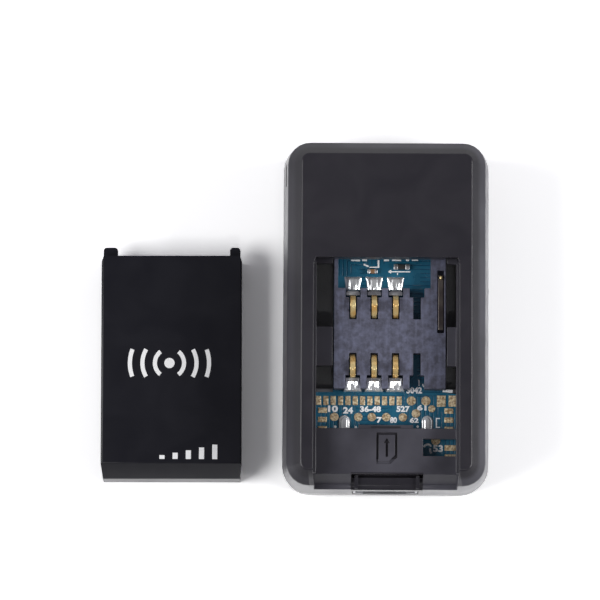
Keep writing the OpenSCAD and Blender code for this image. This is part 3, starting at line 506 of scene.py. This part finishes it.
# %% Find and bevel the edges that turn
def bevel_edges(work, chosen, width, segments):
    bmesh.ops.bevel(work, geom=chosen, offset=width, offset_type="OFFSET", segments=segments,
                    profile=0.5, affect="EDGES", clamp_overlap=False, material=-1)


def turning_edges(work, turn, shortest):
    least = math.radians(turn)
    return [e for e in work.edges if len(e.link_faces) == 2
            and e.calc_face_angle(0.0) > least and e.calc_length() > shortest]


def nowhere(edge):
    return False


# %% Soften the edges of a part
SAME_POINT = 0.01 * MM
FLAT_TURN = 0.4
FINE_EXTRA_TURN = 8.0
TINY = 0.03 * MM
SHORTEST_WIDE = 0.02 * MM
SHORTEST_TINY = 0.2 * MM
FINE_LENGTHS = 2.5
SLIVER = 0.003 * MM
SHARP_TURN = 38.0


def softened(node_name, piece_name, fine, material, body="tracker", wide=None, outer=nowhere,
             crowded=nowhere, turn=28.0, carve=None):
    work = bmesh.new()
    work.from_mesh(nodes[node_name].data)
    bmesh.ops.remove_doubles(work, verts=work.verts, dist=SAME_POINT)
    bmesh.ops.dissolve_limit(work, angle_limit=math.radians(FLAT_TURN), verts=work.verts,
                             edges=work.edges, use_dissolve_boundaries=False, delimit=set())
    if carve:
        carve(work)
    long_edges = [e for e in turning_edges(work, turn, SHORTEST_WIDE) if outer(e)]
    if long_edges:
        bevel_edges(work, long_edges, wide, 4)
    turn += FINE_EXTRA_TURN
    tight = [e for e in turning_edges(work, turn, SHORTEST_TINY) if crowded(e)]
    if tight:
        bevel_edges(work, tight, TINY, 2)
    rest = [e for e in turning_edges(work, turn, fine * FINE_LENGTHS)
            if not outer(e) and not crowded(e)]
    bevel_edges(work, rest, fine, 2)
    bmesh.ops.dissolve_degenerate(work, dist=SLIVER, edges=work.edges)
    bmesh.ops.remove_doubles(work, verts=work.verts, dist=SLIVER)
    mesh = mesh_from(work, piece_name, sharp=SHARP_TURN)
    piece = new_piece(piece_name, mesh, material, body, node_name)
    even = piece.modifiers.new("even_normals", "WEIGHTED_NORMAL")
    even.keep_sharp = True
    print("%s: %d wide, %d tiny and %d fine edges, %d faces" % (
        piece_name, len(long_edges), len(tight), len(rest), len(mesh.polygons)))
    return piece


# %% [markdown]
# The upper shell has wide chamfers, whose upper and lower borders catch the light, so those take
# the wide bevel, and so does the foot of the lower shell. Small tests on an edge's height and
# place find them, which is surer than a list of edge numbers that changes with the mesh. In the
# notch for the latch and in the card mark the edges crowd, so they get the tiny one. The narrow
# slot that the cover's latch hooks into is cut off the ramp in the notch and pushed down, which
# leaves the shell closed where a Boolean might not.

# %% Tests on an edge of the shells
BAY_HALF = 8.6 * MM
BAY_FAR_END = 7.5 * MM
BELT = FRONT - 2.3 * MM
FOOT = 1.0 * MM
LEVEL = 0.05 * MM
NOTCH_HALF, NOTCH_END = 5.3 * MM, -17.6 * MM
MARK_HALF, MARK_END = 1.7 * MM, -12.9 * MM
SLOPING_UP = 0.2
BARELY = 0.02


def faces_out(edge):
    middle = (edge.verts[0].co + edge.verts[1].co) / 2
    out = Vector((middle.x, middle.y, 0.0)).normalized()
    return all(f.normal.dot(out) > -BARELY for f in edge.link_faces)


def faces_up(edge, least):
    return all(f.normal.z > least for f in edge.link_faces)


def is_level(edge, height):
    return all(abs(v.co.z - height) < LEVEL for v in edge.verts)


def beside_bay(edge):
    return all(abs(v.co.x) > BAY_HALF or v.co.y > BAY_FAR_END for v in edge.verts)


def near_middle(edge, half, end):
    return all(abs(v.co.x) < half and v.co.y < end for v in edge.verts)


def round_front(edge):
    front = is_level(edge, FRONT) and faces_up(edge, SLOPING_UP)
    belt = is_level(edge, BELT) and faces_up(edge, BARELY)
    return (front or belt) and faces_out(edge) and beside_bay(edge)


def round_base(edge):
    return (is_level(edge, 0.0) or is_level(edge, FOOT)) and faces_out(edge)


def in_notch(edge):
    return near_middle(edge, NOTCH_HALF, NOTCH_END)


def in_notch_or_mark(edge):
    return in_notch(edge) or near_middle(edge, MARK_HALF, MARK_END)


# %% The latch slot, and both shells
RAMP_FACING = (-0.6, -0.4)
SLOT_WIDTH = 0.34 * MM
SLOT_DEPTH = 0.7 * MM


def carve_latch_slot(work):
    least, most = RAMP_FACING
    ramps = [f for f in work.faces if least < f.normal.y < most and all(map(in_notch, f.edges))]
    ramp = max(ramps, key=lambda f: f.calc_area())
    line = max(v.co.y for v in ramp.verts) - SLOT_WIDTH
    cut = bmesh.ops.bisect_plane(work, geom=[ramp, *ramp.verts, *ramp.edges], dist=0.001 * MM,
                                 plane_co=(0, line, 0), plane_no=(0, 1, 0))["geom"]
    strips = [part for part in cut
              if isinstance(part, bmesh.types.BMFace) and part.calc_center_bounds().y > line]
    bmesh.ops.inset_individual(work, faces=strips, depth=-SLOT_DEPTH)
    print("latch slot at y %.2f mm, faces: %d" % (line / MM, len(strips)))


softened("top_housing", "upper_shell", 0.07 * MM, CASE, wide=0.17 * MM, outer=round_front,
         crowded=in_notch_or_mark, carve=carve_latch_slot)
softened("bottom_housing", "lower_shell", 0.1 * MM, CASE_LOW, wide=0.25 * MM, outer=round_base)

# %% [markdown]
# The cover lies face up, and the border of its plate shines along both sides and at the lip, so
# those three edges take the wide bevel. Three others turn by only about 30 degrees, so here an
# edge counts from a smaller angle. The socket is small and full of channels, and takes one fine
# bevel all over.

# %% The cover and the socket
RIM_DEPTH = 0.4 * MM


def on_cover_rim(edge):
    return all(v.co.z > COVER_FACE - RIM_DEPTH for v in edge.verts) and faces_up(edge, SLOPING_UP)


softened("cover_panel", "bay_cover", 0.08 * MM, COVER, "cover", wide=0.17 * MM,
         outer=on_cover_rim, turn=20.0)
softened("socket_frame", "card_socket", 0.06 * MM, SOCKET)

# %% [markdown]
# The springs and tails are stamped from thin sheet, whose burrs are tumbled off, and the pads are
# etched copper under plating, so their edges are round too, only finer. Each spring rides on its
# own body, so that a card can press it alone. The strip of the arm that feels the card fills more
# of its groove on the real socket than in the model, so its softened copy is stretched sideways
# about its own middle.

# %% The springs, pads, port and magnets
STRIP_STRETCH = 1.3

for name in SPRINGS:
    softened(name, name.replace("contact", "spring_strip"), 0.045 * MM, GOLD,
             name.replace("contact", "spring"))
strip = softened("card_detect_spring", "detect_strip", 0.05 * MM, BRONZE, "detect_arm")
strip_x = middle_of("card_detect_spring").x
for v in strip.data.vertices:
    v.co.x = strip_x + STRIP_STRETCH * (v.co.x - strip_x)
softened("gold_pads", "test_pads", 0.05 * MM, PAD_GOLD)
softened("contact_tails", "contact_shoulders", 0.04 * MM, TINNED)
softened("port_shell", "port_sheet", TINY, STEEL)
softened("port_tongue", "port_insulator", 0.08 * MM, PORT_PLASTIC)
softened("magnet_far", "far_magnet_disc", 0.14 * MM, NICKEL)
softened("magnet_near", "near_magnet_disc", 0.14 * MM, NICKEL)

# %% [markdown]
# The arm that feels the card ends in a small gold dimple, the spot that the card pushes on. It is
# pressed out of the strip, but a separate sphere, scaled flat and sunk halfway into the strip,
# looks the same and can be gold. It rides on the arm.

# %% The dimple at the arm's end
DIMPLE_REACH = (0.17 * MM, 0.22 * MM, 0.1 * MM)
DIMPLE_BACK = 0.36 * MM
ARM_END = 0.9 * MM


def build_detect_tip():
    arm = nodes["card_detect_spring"].data.vertices
    end_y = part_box("card_detect_spring")[1][1]
    end_z = max(v.co.z for v in arm if v.co.y > end_y - ARM_END)
    work = bmesh.new()
    bmesh.ops.create_uvsphere(work, u_segments=20, v_segments=12, radius=1.0)
    bmesh.ops.scale(work, verts=work.verts, vec=DIMPLE_REACH)
    bmesh.ops.translate(work, verts=work.verts, vec=(strip_x, end_y - DIMPLE_BACK, end_z))
    new_piece("detect_tip", mesh_from(work, "detect_tip"), GOLD, "detect_arm")
    print("detect tip at z %.2f mm" % (end_z / MM))


build_detect_tip()

# %% [markdown]
# Solder that wets a flat tail climbs its two sides in wings. Their gentle slopes mirror the bright
# part of the room just over the walls of the bay, and the flatter ridge between them mirrors the
# dark ceiling, so a joint reads as two white wings with a grey middle. A metaball would come out
# too round for that, so each mound is a grid whose points are lifted from the rim to the ridge,
# with shallow waves, and its open rim is filled to close it underneath. The near row sits in
# cut-outs of the socket, so there the solder fills them on a high foot, nearly to the socket's
# top, where the light reaches its wings. Its outer end rises steeply, because a gentle slope there
# would mirror the gold pads beside it.

# %% The height of a solder mound
FAR_JOINTS = dict(side=1, inner=2.62 * MM, outer=4.7 * MM, widths=(2.06 * MM, 1.5 * MM),
                  ridge=0.24, crown=0.33 * MM, foot=0.04 * MM, flare=1.0, rise=7)
NEAR_JOINTS = dict(side=-1, inner=-7.75 * MM, outer=-9.12 * MM, widths=(2.3 * MM, 1.9 * MM),
                   ridge=0.2, crown=0.42 * MM, foot=1.34 * MM, flare=0.5, rise=25)
MOUND_WAVE = 0.02 * MM
MOUND_DIP = 0.07 * MM
FOOT_SPAN = 0.12
INNER_FALL = 6
LOWEST_END = 0.35


def mound_height(across, along, phase, row):
    ridge = row["ridge"]
    slope = max(0.0, 1 - max(0.0, abs(across) - ridge) / (1 - ridge))
    ends = min(1.0, row["rise"] * along) * min(1.0, INNER_FALL * (1 - along))
    wave = MOUND_WAVE * math.sin(7 * across + phase) * math.sin(6 * along + 2 * phase) * slope
    dip = MOUND_DIP * max(0.0, 1 - abs(across) / ridge) * (0.4 + along)
    foot = row["foot"] * min(1.0, (1 - abs(across)) / FOOT_SPAN)
    crown = row["crown"] * (0.6 + 0.4 * along) * slope
    return (crown + foot + wave - dip) * (LOWEST_END + (1 - LOWEST_END) * ends)


# %% Solder mounds over the contact tails
MOUND_GRID = (30, 26)


def close_underneath(work):
    bmesh.ops.edgeloop_fill(work, edges=[e for e in work.edges if e.is_boundary])


def add_mound(work, middle_x, row, phase):
    across_cells, along_cells = MOUND_GRID
    outer_width, inner_width = row["widths"]
    grid = bmesh.ops.create_grid(work, x_segments=across_cells, y_segments=along_cells, size=0.5)
    for v in grid["verts"]:
        across = 2 * v.co.x
        along = v.co.y + 0.5
        width = outer_width + (inner_width - outer_width) * min(1.0, along / row["flare"])
        on_rim = abs(v.co.x) > 0.499 or abs(v.co.y) > 0.499
        height = 0.0 if on_rim else mound_height(across, along, phase, row)
        v.co = Vector((middle_x + across * width / 2,
                       row["outer"] + (row["inner"] - row["outer"]) * along, BOARD_TOP + height))
    close_underneath(work)


def build_mounds():
    work = bmesh.new()
    for row in (FAR_JOINTS, NEAR_JOINTS):
        for column in COLUMNS:
            middle_x = middle_of("contact_far_%d" % column).x
            add_mound(work, middle_x, row, column + 2.4 * row["side"])
    bmesh.ops.recalc_face_normals(work, faces=work.faces)
    mesh = mesh_from(work, "tail_mounds", sharp=60.0)
    new_piece("tail_mounds", mesh, SOLDER, "tracker", "tail_solder")
    print("mounds: %d faces, top %.2f mm over the board" % (
        len(mesh.polygons), (max(v.co.z for v in mesh.vertices) - BOARD_TOP) / MM))


build_mounds()

# %% [markdown]
# A port's leg stands up through a long hole in the board, and its solder forms nested arches
# round it: a rim, a groove, and a dome over the leg. Spinning a profile would give a round one,
# so a circle is stretched to the outline of the hole instead, and its face is inset again and
# again, each time a little inward and up or down.

# %% Solder arches over the port's legs
ARCH_W = 1.36 * MM
ARCH_L = 2.7 * MM
ARCH_STEPS = [(0.05, 0.13), (0.07, 0.05), (0.08, 0.035), (0.03, -0.05), (0.03, 0.0),
              (0.04, 0.11), (0.08, 0.05), (0.08, 0.03), (0.05, 0.01)]


def add_arch(work, x, y):
    ring = bmesh.ops.create_circle(work, cap_ends=True, segments=40, radius=ARCH_W / 2)["verts"]
    work.normal_update()
    face = ring[0].link_faces[0]
    if face.normal.z < 0:
        face.normal_flip()
    for v in ring:
        v.co += Vector((x, y + math.copysign((ARCH_L - ARCH_W) / 2, v.co.y), BOARD_TOP))
    for inward, up in ARCH_STEPS:
        bmesh.ops.inset_individual(work, faces=[face], thickness=inward * MM, depth=up * MM)
    close_underneath(work)


def build_arches():
    work = bmesh.new()
    low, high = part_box("leg_solder")
    middle_y = (low[1] + high[1]) / 2
    for x in (low[0] + ARCH_W / 2, high[0] - ARCH_W / 2):
        add_arch(work, x, middle_y)
    bmesh.ops.recalc_face_normals(work, faces=work.faces)
    mesh = mesh_from(work, "leg_arches")
    new_piece("leg_arches", mesh, SOLDER, "tracker", "leg_solder")
    print("arches: %d faces, top %.2f mm over the board" % (
        len(mesh.polygons), (max(v.co.z for v in mesh.vertices) - BOARD_TOP) / MM))


build_arches()

# %% [markdown]
# The two small parts in the socket's window are a brown capacitor and a black resistor. Each is
# a softened block between two tinned ends that stand a little proud. One cube with painted ends
# would lack that step, so the body and the ends are pieces of their own.

# %% Small parts with tinned ends
END_SHARE = 0.27
BODY_START = 0.7
END_PROUD = 0.02
PART_EDGE = 0.05 * MM


def soft_box(work, low, high):
    made = bmesh.ops.create_cube(work, size=1.0)["verts"]
    for v in made:
        v.co = Vector([a + (b - a) * (c + 0.5) for a, b, c in zip(low, high, v.co)])
    bevel_edges(work, list({e for v in made for e in v.link_edges}), PART_EDGE, 2)


def build_small_part(name, centre, size, body_material, replaced=None):
    x, y = centre
    length, width, height = size
    half, end = length / 2, END_SHARE * length
    body_end = half - end * BODY_START
    for suffix, material, spans, grow, stands_for in (
            ("body", body_material, [(-body_end, body_end)], 0.0, replaced),
            ("ends", TINNED, [(-half, end - half), (half - end, half)], END_PROUD, None)):
        work = bmesh.new()
        for x0, x1 in spans:
            reach = width / 2 + grow
            soft_box(work, ((x + x0) * MM, (y - reach) * MM, BOARD_TOP),
                     ((x + x1) * MM, (y + reach) * MM, BOARD_TOP + (height + grow) * MM))
        piece_name = "%s_%s" % (name, suffix)
        mesh = mesh_from(work, piece_name, sharp=50.0)
        new_piece(piece_name, mesh, material, "tracker", stands_for)
        print(piece_name, "faces:", len(mesh.polygons))


build_small_part("capacitor", (-1.64, 5.34), (1.2, 0.52, 0.45), SMALL_PART, "small_chips")
build_small_part("resistor", (1.84, 5.89), (1.9, 0.62, 0.4), EPOXY)

# %% [markdown]
# The board carries white printed numbers and lines, and the cover a plain signal sign over a row
# of five bars. An image could be wrapped on, but ink made of geometry stays sharp in any close
# view. Each mark is drawn flat, as a scaled grid, a filled circle or an edge spun about a centre,
# and then everything is extruded at once to a film of ink. The numbers come from a text curve
# that is made a mesh first.

# %% Shapes for printed marks
PRINT_T = 0.02 * MM


def add_bar(work, x0, y0, x1, y1, width, z):
    along = Vector((x1 - x0, y1 - y0))
    made = bmesh.ops.create_grid(work, x_segments=1, y_segments=1, size=0.5)["verts"]
    turn = Matrix.Rotation(math.atan2(along.y, along.x), 3, "Z")
    bmesh.ops.scale(work, verts=made, vec=(along.length * MM, width * MM, 1.0))
    bmesh.ops.rotate(work, verts=made, matrix=turn)
    bmesh.ops.translate(work, verts=made, vec=((x0 + x1) / 2 * MM, (y0 + y1) / 2 * MM, z))


def add_disc(work, x, y, radius, z):
    made = bmesh.ops.create_circle(work, cap_ends=True, segments=28, radius=radius * MM)["verts"]
    bmesh.ops.translate(work, verts=made, vec=(x * MM, y * MM, z))


def add_arc(work, x, y, radius, start, end, width, z):
    turn = Matrix.Rotation(math.radians(start), 3, "Z")
    centre = Vector((x * MM, y * MM, z))
    radii = [(radius + side * width / 2) * MM for side in (-1, 1)]
    ends = [work.verts.new(centre + turn @ Vector((reach, 0, 0))) for reach in radii]
    bmesh.ops.spin(work, geom=ends + [work.edges.new(ends)], cent=centre, axis=(0, 0, 1),
                   angle=math.radians(end - start), steps=20)


def raise_print(work):
    made = bmesh.ops.extrude_face_region(work, geom=work.faces[:], use_keep_orig=True)["geom"]
    tops = [part for part in made if isinstance(part, bmesh.types.BMVert)]
    bmesh.ops.translate(work, verts=tops, vec=(0, 0, PRINT_T))


# %% Printed numbers
DIGIT_WEIGHT = 0.045
DIGIT_EXTRUDE = 0.01


def fitted(value, low, high, start, end):
    return (start + (value - low) / (high - low) * (end - start)) * MM


def add_number(work, digits, x0, y0, x1, y1, z):
    curve = bpy.data.curves.new("digits", "FONT")
    curve.body = digits
    curve.offset = DIGIT_WEIGHT
    curve.extrude = DIGIT_EXTRUDE
    curve.resolution_u = 3
    holder = bpy.data.objects.new("digits", curve)
    bpy.context.scene.collection.objects.link(holder)
    bpy.context.view_layer.update()
    solid = holder.evaluated_get(bpy.context.evaluated_depsgraph_get())
    mesh = bpy.data.meshes.new_from_object(solid)
    bpy.data.objects.remove(holder)
    xs = [v.co.x for v in mesh.vertices]
    ys = [v.co.y for v in mesh.vertices]
    for v, x, y in zip(mesh.vertices, xs, ys):
        v.co = (fitted(x, min(xs), max(xs), x0, x1), fitted(y, min(ys), max(ys), y0, y1),
                z + (PRINT_T if v.co.z > 0 else 0.0))
    work.from_mesh(mesh)
    bpy.data.meshes.remove(mesh)


def finish_print(work, name, body):
    bmesh.ops.remove_doubles(work, verts=work.verts, dist=0.0005 * MM)
    bmesh.ops.recalc_face_normals(work, faces=work.faces)
    mesh = mesh_from(work, name, smooth=False)
    new_piece(name, mesh, PRINT_WHITE, body)
    print(name, "faces:", len(mesh.polygons))


# %% [markdown]
# The places of the marks are in millimetres on the board: two corners for a number, and two ends
# and a width for a bar. Each bar lies a hair higher than the one before, so that two that cross
# never share a face, which would flicker.

# %% Numbers and lines on the board
BOARD_NUMBERS = [
    ("10", -6.86, -11.54, -5.68, -10.76), ("24", -5.08, -11.71, -3.89, -10.93),
    ("36-48", -3.06, -11.52, -0.56, -10.79), ("527", 1.28, -11.5, 2.86, -10.77),
    ("61", 3.72, -11.3, 4.85, -10.64), ("62", 2.87, -12.78, 3.92, -12.17),
    ("7", -1.09, -12.82, -0.44, -12.1), ("80", 0.51, -12.82, 1.34, -12.09),
    ("3042", 2.47, -9.28, 4.31, -8.49), ("5", 5.63, -16.25, 6.2, -15.41),
    ("3", 6.28, -16.25, 6.82, -15.41),
]
BOARD_BARS = [
    (-6.2, -8.67, -5.01, -8.66, 0.12), (4.9, -8.6, 6.69, -8.6, 0.12),
    (3.95, -8.37, 3.95, -7.65, 0.14), (6.76, -8.9, 7.95, -9.0, 0.34),
    (6.02, -13.38, 6.02, -12.18, 0.12), (6.0, -12.24, 6.46, -12.24, 0.12),
    (6.0, -13.3, 6.46, -13.3, 0.12), (-4.21, 6.68, -3.13, 6.68, 0.2),
    (-2.89, 6.7, -2.3, 6.7, 0.22), (-0.27, 6.7, 0.33, 6.74, 0.22),
    (0.69, 6.72, 1.76, 6.72, 0.16), (2.36, 6.72, 2.72, 6.72, 0.18),
    (3.07, 6.74, 3.79, 6.74, 0.16), (-0.93, 5.86, -0.93, 6.72, 0.2),
    (-2.0, 5.86, -0.84, 5.86, 0.14), (-2.69, 6.2, -2.1, 5.95, 0.2),
    (0.5, 5.34, 2.87, 5.34, 0.14), (1.35, 4.95, 1.35, 5.19, 0.12),
    (0.28, 5.34, 0.6, 5.52, 0.12), (0.28, 5.34, 0.6, 5.16, 0.12),
]
BOARD_DOTS = [(-5.99, -13.29), (-3.54, -13.34), (3.8, -13.24)]
BOARD_ARCS = [(4.9, -8.1, 0.5, 180, 270, 0.14), (5.0, -15.75, 0.42, 20, 170, 0.24),
              (6.1, -15.95, 0.8, 170, 215, 0.24)]
DOT_RADIUS = 0.15
BOARD_INK_LIFT = 0.005 * MM
BAR_STEP = 0.0008 * MM


def build_board_print():
    work = bmesh.new()
    z = BOARD_TOP + BOARD_INK_LIFT
    for i, bar in enumerate(BOARD_BARS):
        add_bar(work, *bar, z + BAR_STEP * i)
    for x, y in BOARD_DOTS:
        add_disc(work, x, y, DOT_RADIUS, z)
    for arc in BOARD_ARCS:
        add_arc(work, *arc, z)
    raise_print(work)
    for number in BOARD_NUMBERS:
        add_number(work, *number, z)
    finish_print(work, "board_print", "tracker")


build_board_print()

# %% [markdown]
# The sign on the cover is a dot between three pairs of arcs. The two outer pairs end on the same
# level lines, so their angle follows from the radius, and the inner pair has an angle of its own.

# %% The sign and the bars on the cover
SIGN_AT = (-25.9, -5.19)
SIGN_DOT = 0.62
SIGN_LINE = 0.5
SIGN_HALF = 1.65
SIGN_ARCS = [(1.75, 52.0)] + [(r, math.degrees(math.asin(SIGN_HALF / r))) for r in (3.25, 4.75)]
BARS_AT = (-26.7, -16.75)
BAR_PITCH = 1.58
BAR_WIDTH = 0.62
BAR_HEIGHTS = (0.45, 0.75, 1.05, 1.4, 1.75)
COVER_INK_LIFT = 0.002 * MM


def build_cover_print():
    work = bmesh.new()
    z = COVER_FACE + COVER_INK_LIFT
    add_disc(work, *SIGN_AT, SIGN_DOT, z)
    for radius, reach in SIGN_ARCS:
        for middle in (0.0, 180.0):
            add_arc(work, *SIGN_AT, radius, middle - reach, middle + reach, SIGN_LINE, z)
    for i, height in enumerate(BAR_HEIGHTS):
        x = BARS_AT[0] + BAR_PITCH * i
        add_bar(work, x, BARS_AT[1], x, BARS_AT[1] + height, BAR_WIDTH, z)
    raise_print(work)
    finish_print(work, "cover_print", "cover")


build_cover_print()

# %% [markdown]
# The table is a plain pale sheet, photographed with enough exposure to turn white. To the camera
# its colour counts for more than it does to the light that it sends up, so the sheet is white
# while the soft shadow of the case stays on it. Plastic mirrors the sheet brighter still close by,
# a painted light that lifts the shade the case and the cover cast at their feet, and less farther
# out, where a small sheet would end. A colour ramp over the distance to the case or the cover,
# whichever is nearer, holds those levels. The cover is the smaller of the two and lies lower, so
# its distance starts from a lead.

# %% How bright the sheet looks to each kind of ray
CAMERA_GAIN = 2.25
MIRROR_SPAN = 120 * MM
MIRROR_FULL = 4.0
# painted light: near the case and the cover the sheet is mirrored brighter, lifting the shade they
# cast at their feet
MIRROR_LEVELS = [(25, 2.8), (40, 0.9), (60, 0.8), (90, 0.3)]
COVER_MIDDLE = middle_of("cover_panel")
COVER_LEAD = 11 * MM


def distance_to(tree, x, y, lead):
    place = node(tree, "ShaderNodeTexCoord")
    apart = node(tree, "ShaderNodeVectorMath", operation="DISTANCE")
    apart.inputs[1].default_value = (x, y, 0.0)
    tree.links.new(place.outputs["Object"], apart.inputs[0])
    return maths(tree, "ADD", apart.outputs["Value"], lead)


def sheet_gain(tree, rays):
    nearer = maths(tree, "MINIMUM", distance_to(tree, 0.0, 0.0, 0.0),
                   distance_to(tree, COVER_MIDDLE.x, COVER_MIDDLE.y, COVER_LEAD))
    levels = node(tree, "ShaderNodeValToRGB")
    levels.color_ramp.interpolation = "EASE"
    while len(levels.color_ramp.elements) < len(MIRROR_LEVELS):
        levels.color_ramp.elements.new(0.5)
    for stop, (distance, gain) in zip(levels.color_ramp.elements, MIRROR_LEVELS):
        share = gain / MIRROR_FULL
        stop.position = distance * MM / MIRROR_SPAN
        stop.color = (share, share, share, 1.0)
    feed(tree, maths(tree, "DIVIDE", nearer, MIRROR_SPAN), levels.inputs["Fac"])
    mirrored = maths(tree, "MULTIPLY", levels.outputs["Color"], MIRROR_FULL)
    plain = mixed(tree, rays["Is Glossy Ray"], 1.0, mirrored, "FLOAT")
    return mixed(tree, rays["Is Camera Ray"], plain, CAMERA_GAIN, "FLOAT")


# %% The floor
SHEET_SHADE = 0.8
FLOOR_HALF = 0.9
FLOOR_DROP = 0.03 * MM


def build_floor():
    work = bmesh.new()
    bmesh.ops.create_grid(work, x_segments=1, y_segments=1, size=FLOOR_HALF)
    bmesh.ops.translate(work, verts=work.verts, vec=(0.0, 0.0, -FLOOR_DROP))
    mesh = mesh_from(work, "studio_floor", smooth=False)
    piece = bpy.data.objects.new("studio_floor", mesh)
    bpy.context.scene.collection.objects.link(piece)
    material = bpy.data.materials.new("studio_floor")
    material.use_nodes = True
    tree = material.node_tree
    tree.nodes.clear()
    output = node(tree, "ShaderNodeOutputMaterial")
    matt = node(tree, "ShaderNodeBsdfDiffuse")
    rays = node(tree, "ShaderNodeLightPath").outputs
    shade = maths(tree, "MULTIPLY", sheet_gain(tree, rays), SHEET_SHADE)
    tree.links.new(shade, matt.inputs["Color"])
    tree.links.new(matt.outputs[0], output.inputs["Surface"])
    finish(piece, material)
    return piece


floor = build_floor()
print("floor:", [round(side, 2) for side in floor.dimensions], "m")

# %% [markdown]
# The room is bright at table height behind and beside the object, in a daylight with a trace of
# violet, dimmer on the camera's side, and dark overhead round the camera. That is why the flat
# faces of the case and its near bevel look nearly black, while the side bevels, which mirror the
# table, look grey. Two smooth steps, over a direction's height and over its depth, paint it, and
# no image of a room is needed.

# %% The room
ROOM_LOW = 0.42
ROOM_HIGH = 0.13
ROOM_HEIGHTS = (0.45, 0.8)
FRONT_SHARE = 0.15
ROOM_DEPTHS = (-0.9, -0.1)
ROOM_COLOUR = (0.94, 0.93, 1.0)


def build_world():
    world = bpy.data.worlds.new("studio_room")
    bpy.context.scene.world = world
    world.use_nodes = True
    tree = world.node_tree
    tree.nodes.clear()
    output = node(tree, "ShaderNodeOutputWorld")
    axes = axes_of(tree, node(tree, "ShaderNodeTexCoord").outputs["Generated"])
    height = map_range(tree, axes["Z"], ROOM_HEIGHTS, ROOM_LOW, ROOM_HIGH, "SMOOTHSTEP")
    depth = map_range(tree, axes["Y"], ROOM_DEPTHS, FRONT_SHARE, kind="SMOOTHSTEP")
    back = node(tree, "ShaderNodeBackground")
    feed(tree, ROOM_COLOUR, back.inputs["Color"])
    feed(tree, maths(tree, "MULTIPLY", height, depth), back.inputs["Strength"])
    tree.links.new(back.outputs[0], output.inputs["Surface"])
    print("room:", ROOM_LOW, "at the table,", ROOM_HIGH, "overhead")


build_world()

# %% [markdown]
# Two softboxes stand to the left and right, the left one taller and higher up. They draw the thin
# bright lines on the softened long edges. A small one hangs higher still, on the camera's side,
# and puts a spark on the curved springs and the solder. None hangs straight over the object,
# where the flat faces would mirror it to the camera.

# %% The lamps
AIM = Vector((-0.01, 0.0, 0.007))


def softbox(name, place, size, power):
    data = bpy.data.lights.new(name, "AREA")
    data.shape = "RECTANGLE"
    data.size, data.size_y = size
    data.energy = power
    lamp = bpy.data.objects.new(name, data)
    bpy.context.scene.collection.objects.link(lamp)
    lamp.location = place
    lamp.rotation_euler = (Vector(place) - AIM).to_track_quat("Z", "Y").to_euler()
    print(name, power, "W from", place)


softbox("left_box", (-0.5, -0.08, 0.42), (0.4, 0.32), 2.55)
softbox("right_box", (0.5, -0.06, 0.34), (0.4, 0.2), 2.25)
softbox("spark_box", (0.02, -0.3, 0.5), (0.06, 0.05), 0.13)

# %% [markdown]
# The photo looks down almost square on the front face, from a little towards the latch end. The
# lens was matched to it by the way the case's upper edge and its foot diverge. Three unit vectors
# make the camera's matrix, which holds the small turn exactly where a tracking constraint would
# level it out.

# %% The camera
TURN = math.radians(0.33)
TILT = math.radians(7.5)
DISTANCE = 0.6
PIXELS_PER_MM = 8.45
PHOTO_WIDTH = 600.0
SENSOR = 36.0
LOOK_AT = Vector((-10.265 * MM, 1.271 * MM, 14.0 * MM))


def build_camera():
    data = bpy.data.cameras.new("photo_camera")
    data.sensor_width = SENSOR
    data.lens = SENSOR * PIXELS_PER_MM * DISTANCE / MM / PHOTO_WIDTH
    data.clip_start = 0.01
    camera = bpy.data.objects.new("photo_camera", data)
    bpy.context.scene.collection.objects.link(camera)
    back = Vector((math.sin(TURN) * math.sin(TILT), -math.cos(TURN) * math.sin(TILT),
                   math.cos(TILT)))
    right = Vector((math.cos(TURN), math.sin(TURN), 0.0))
    up = back.cross(right)
    camera.matrix_world = Matrix((right, up, back)).transposed().to_4x4()
    camera.location = LOOK_AT + DISTANCE * back
    bpy.context.scene.camera = camera
    print("camera: %.0f mm lens" % data.lens)


build_camera()
bpy.context.scene.view_settings.view_transform = "Standard"
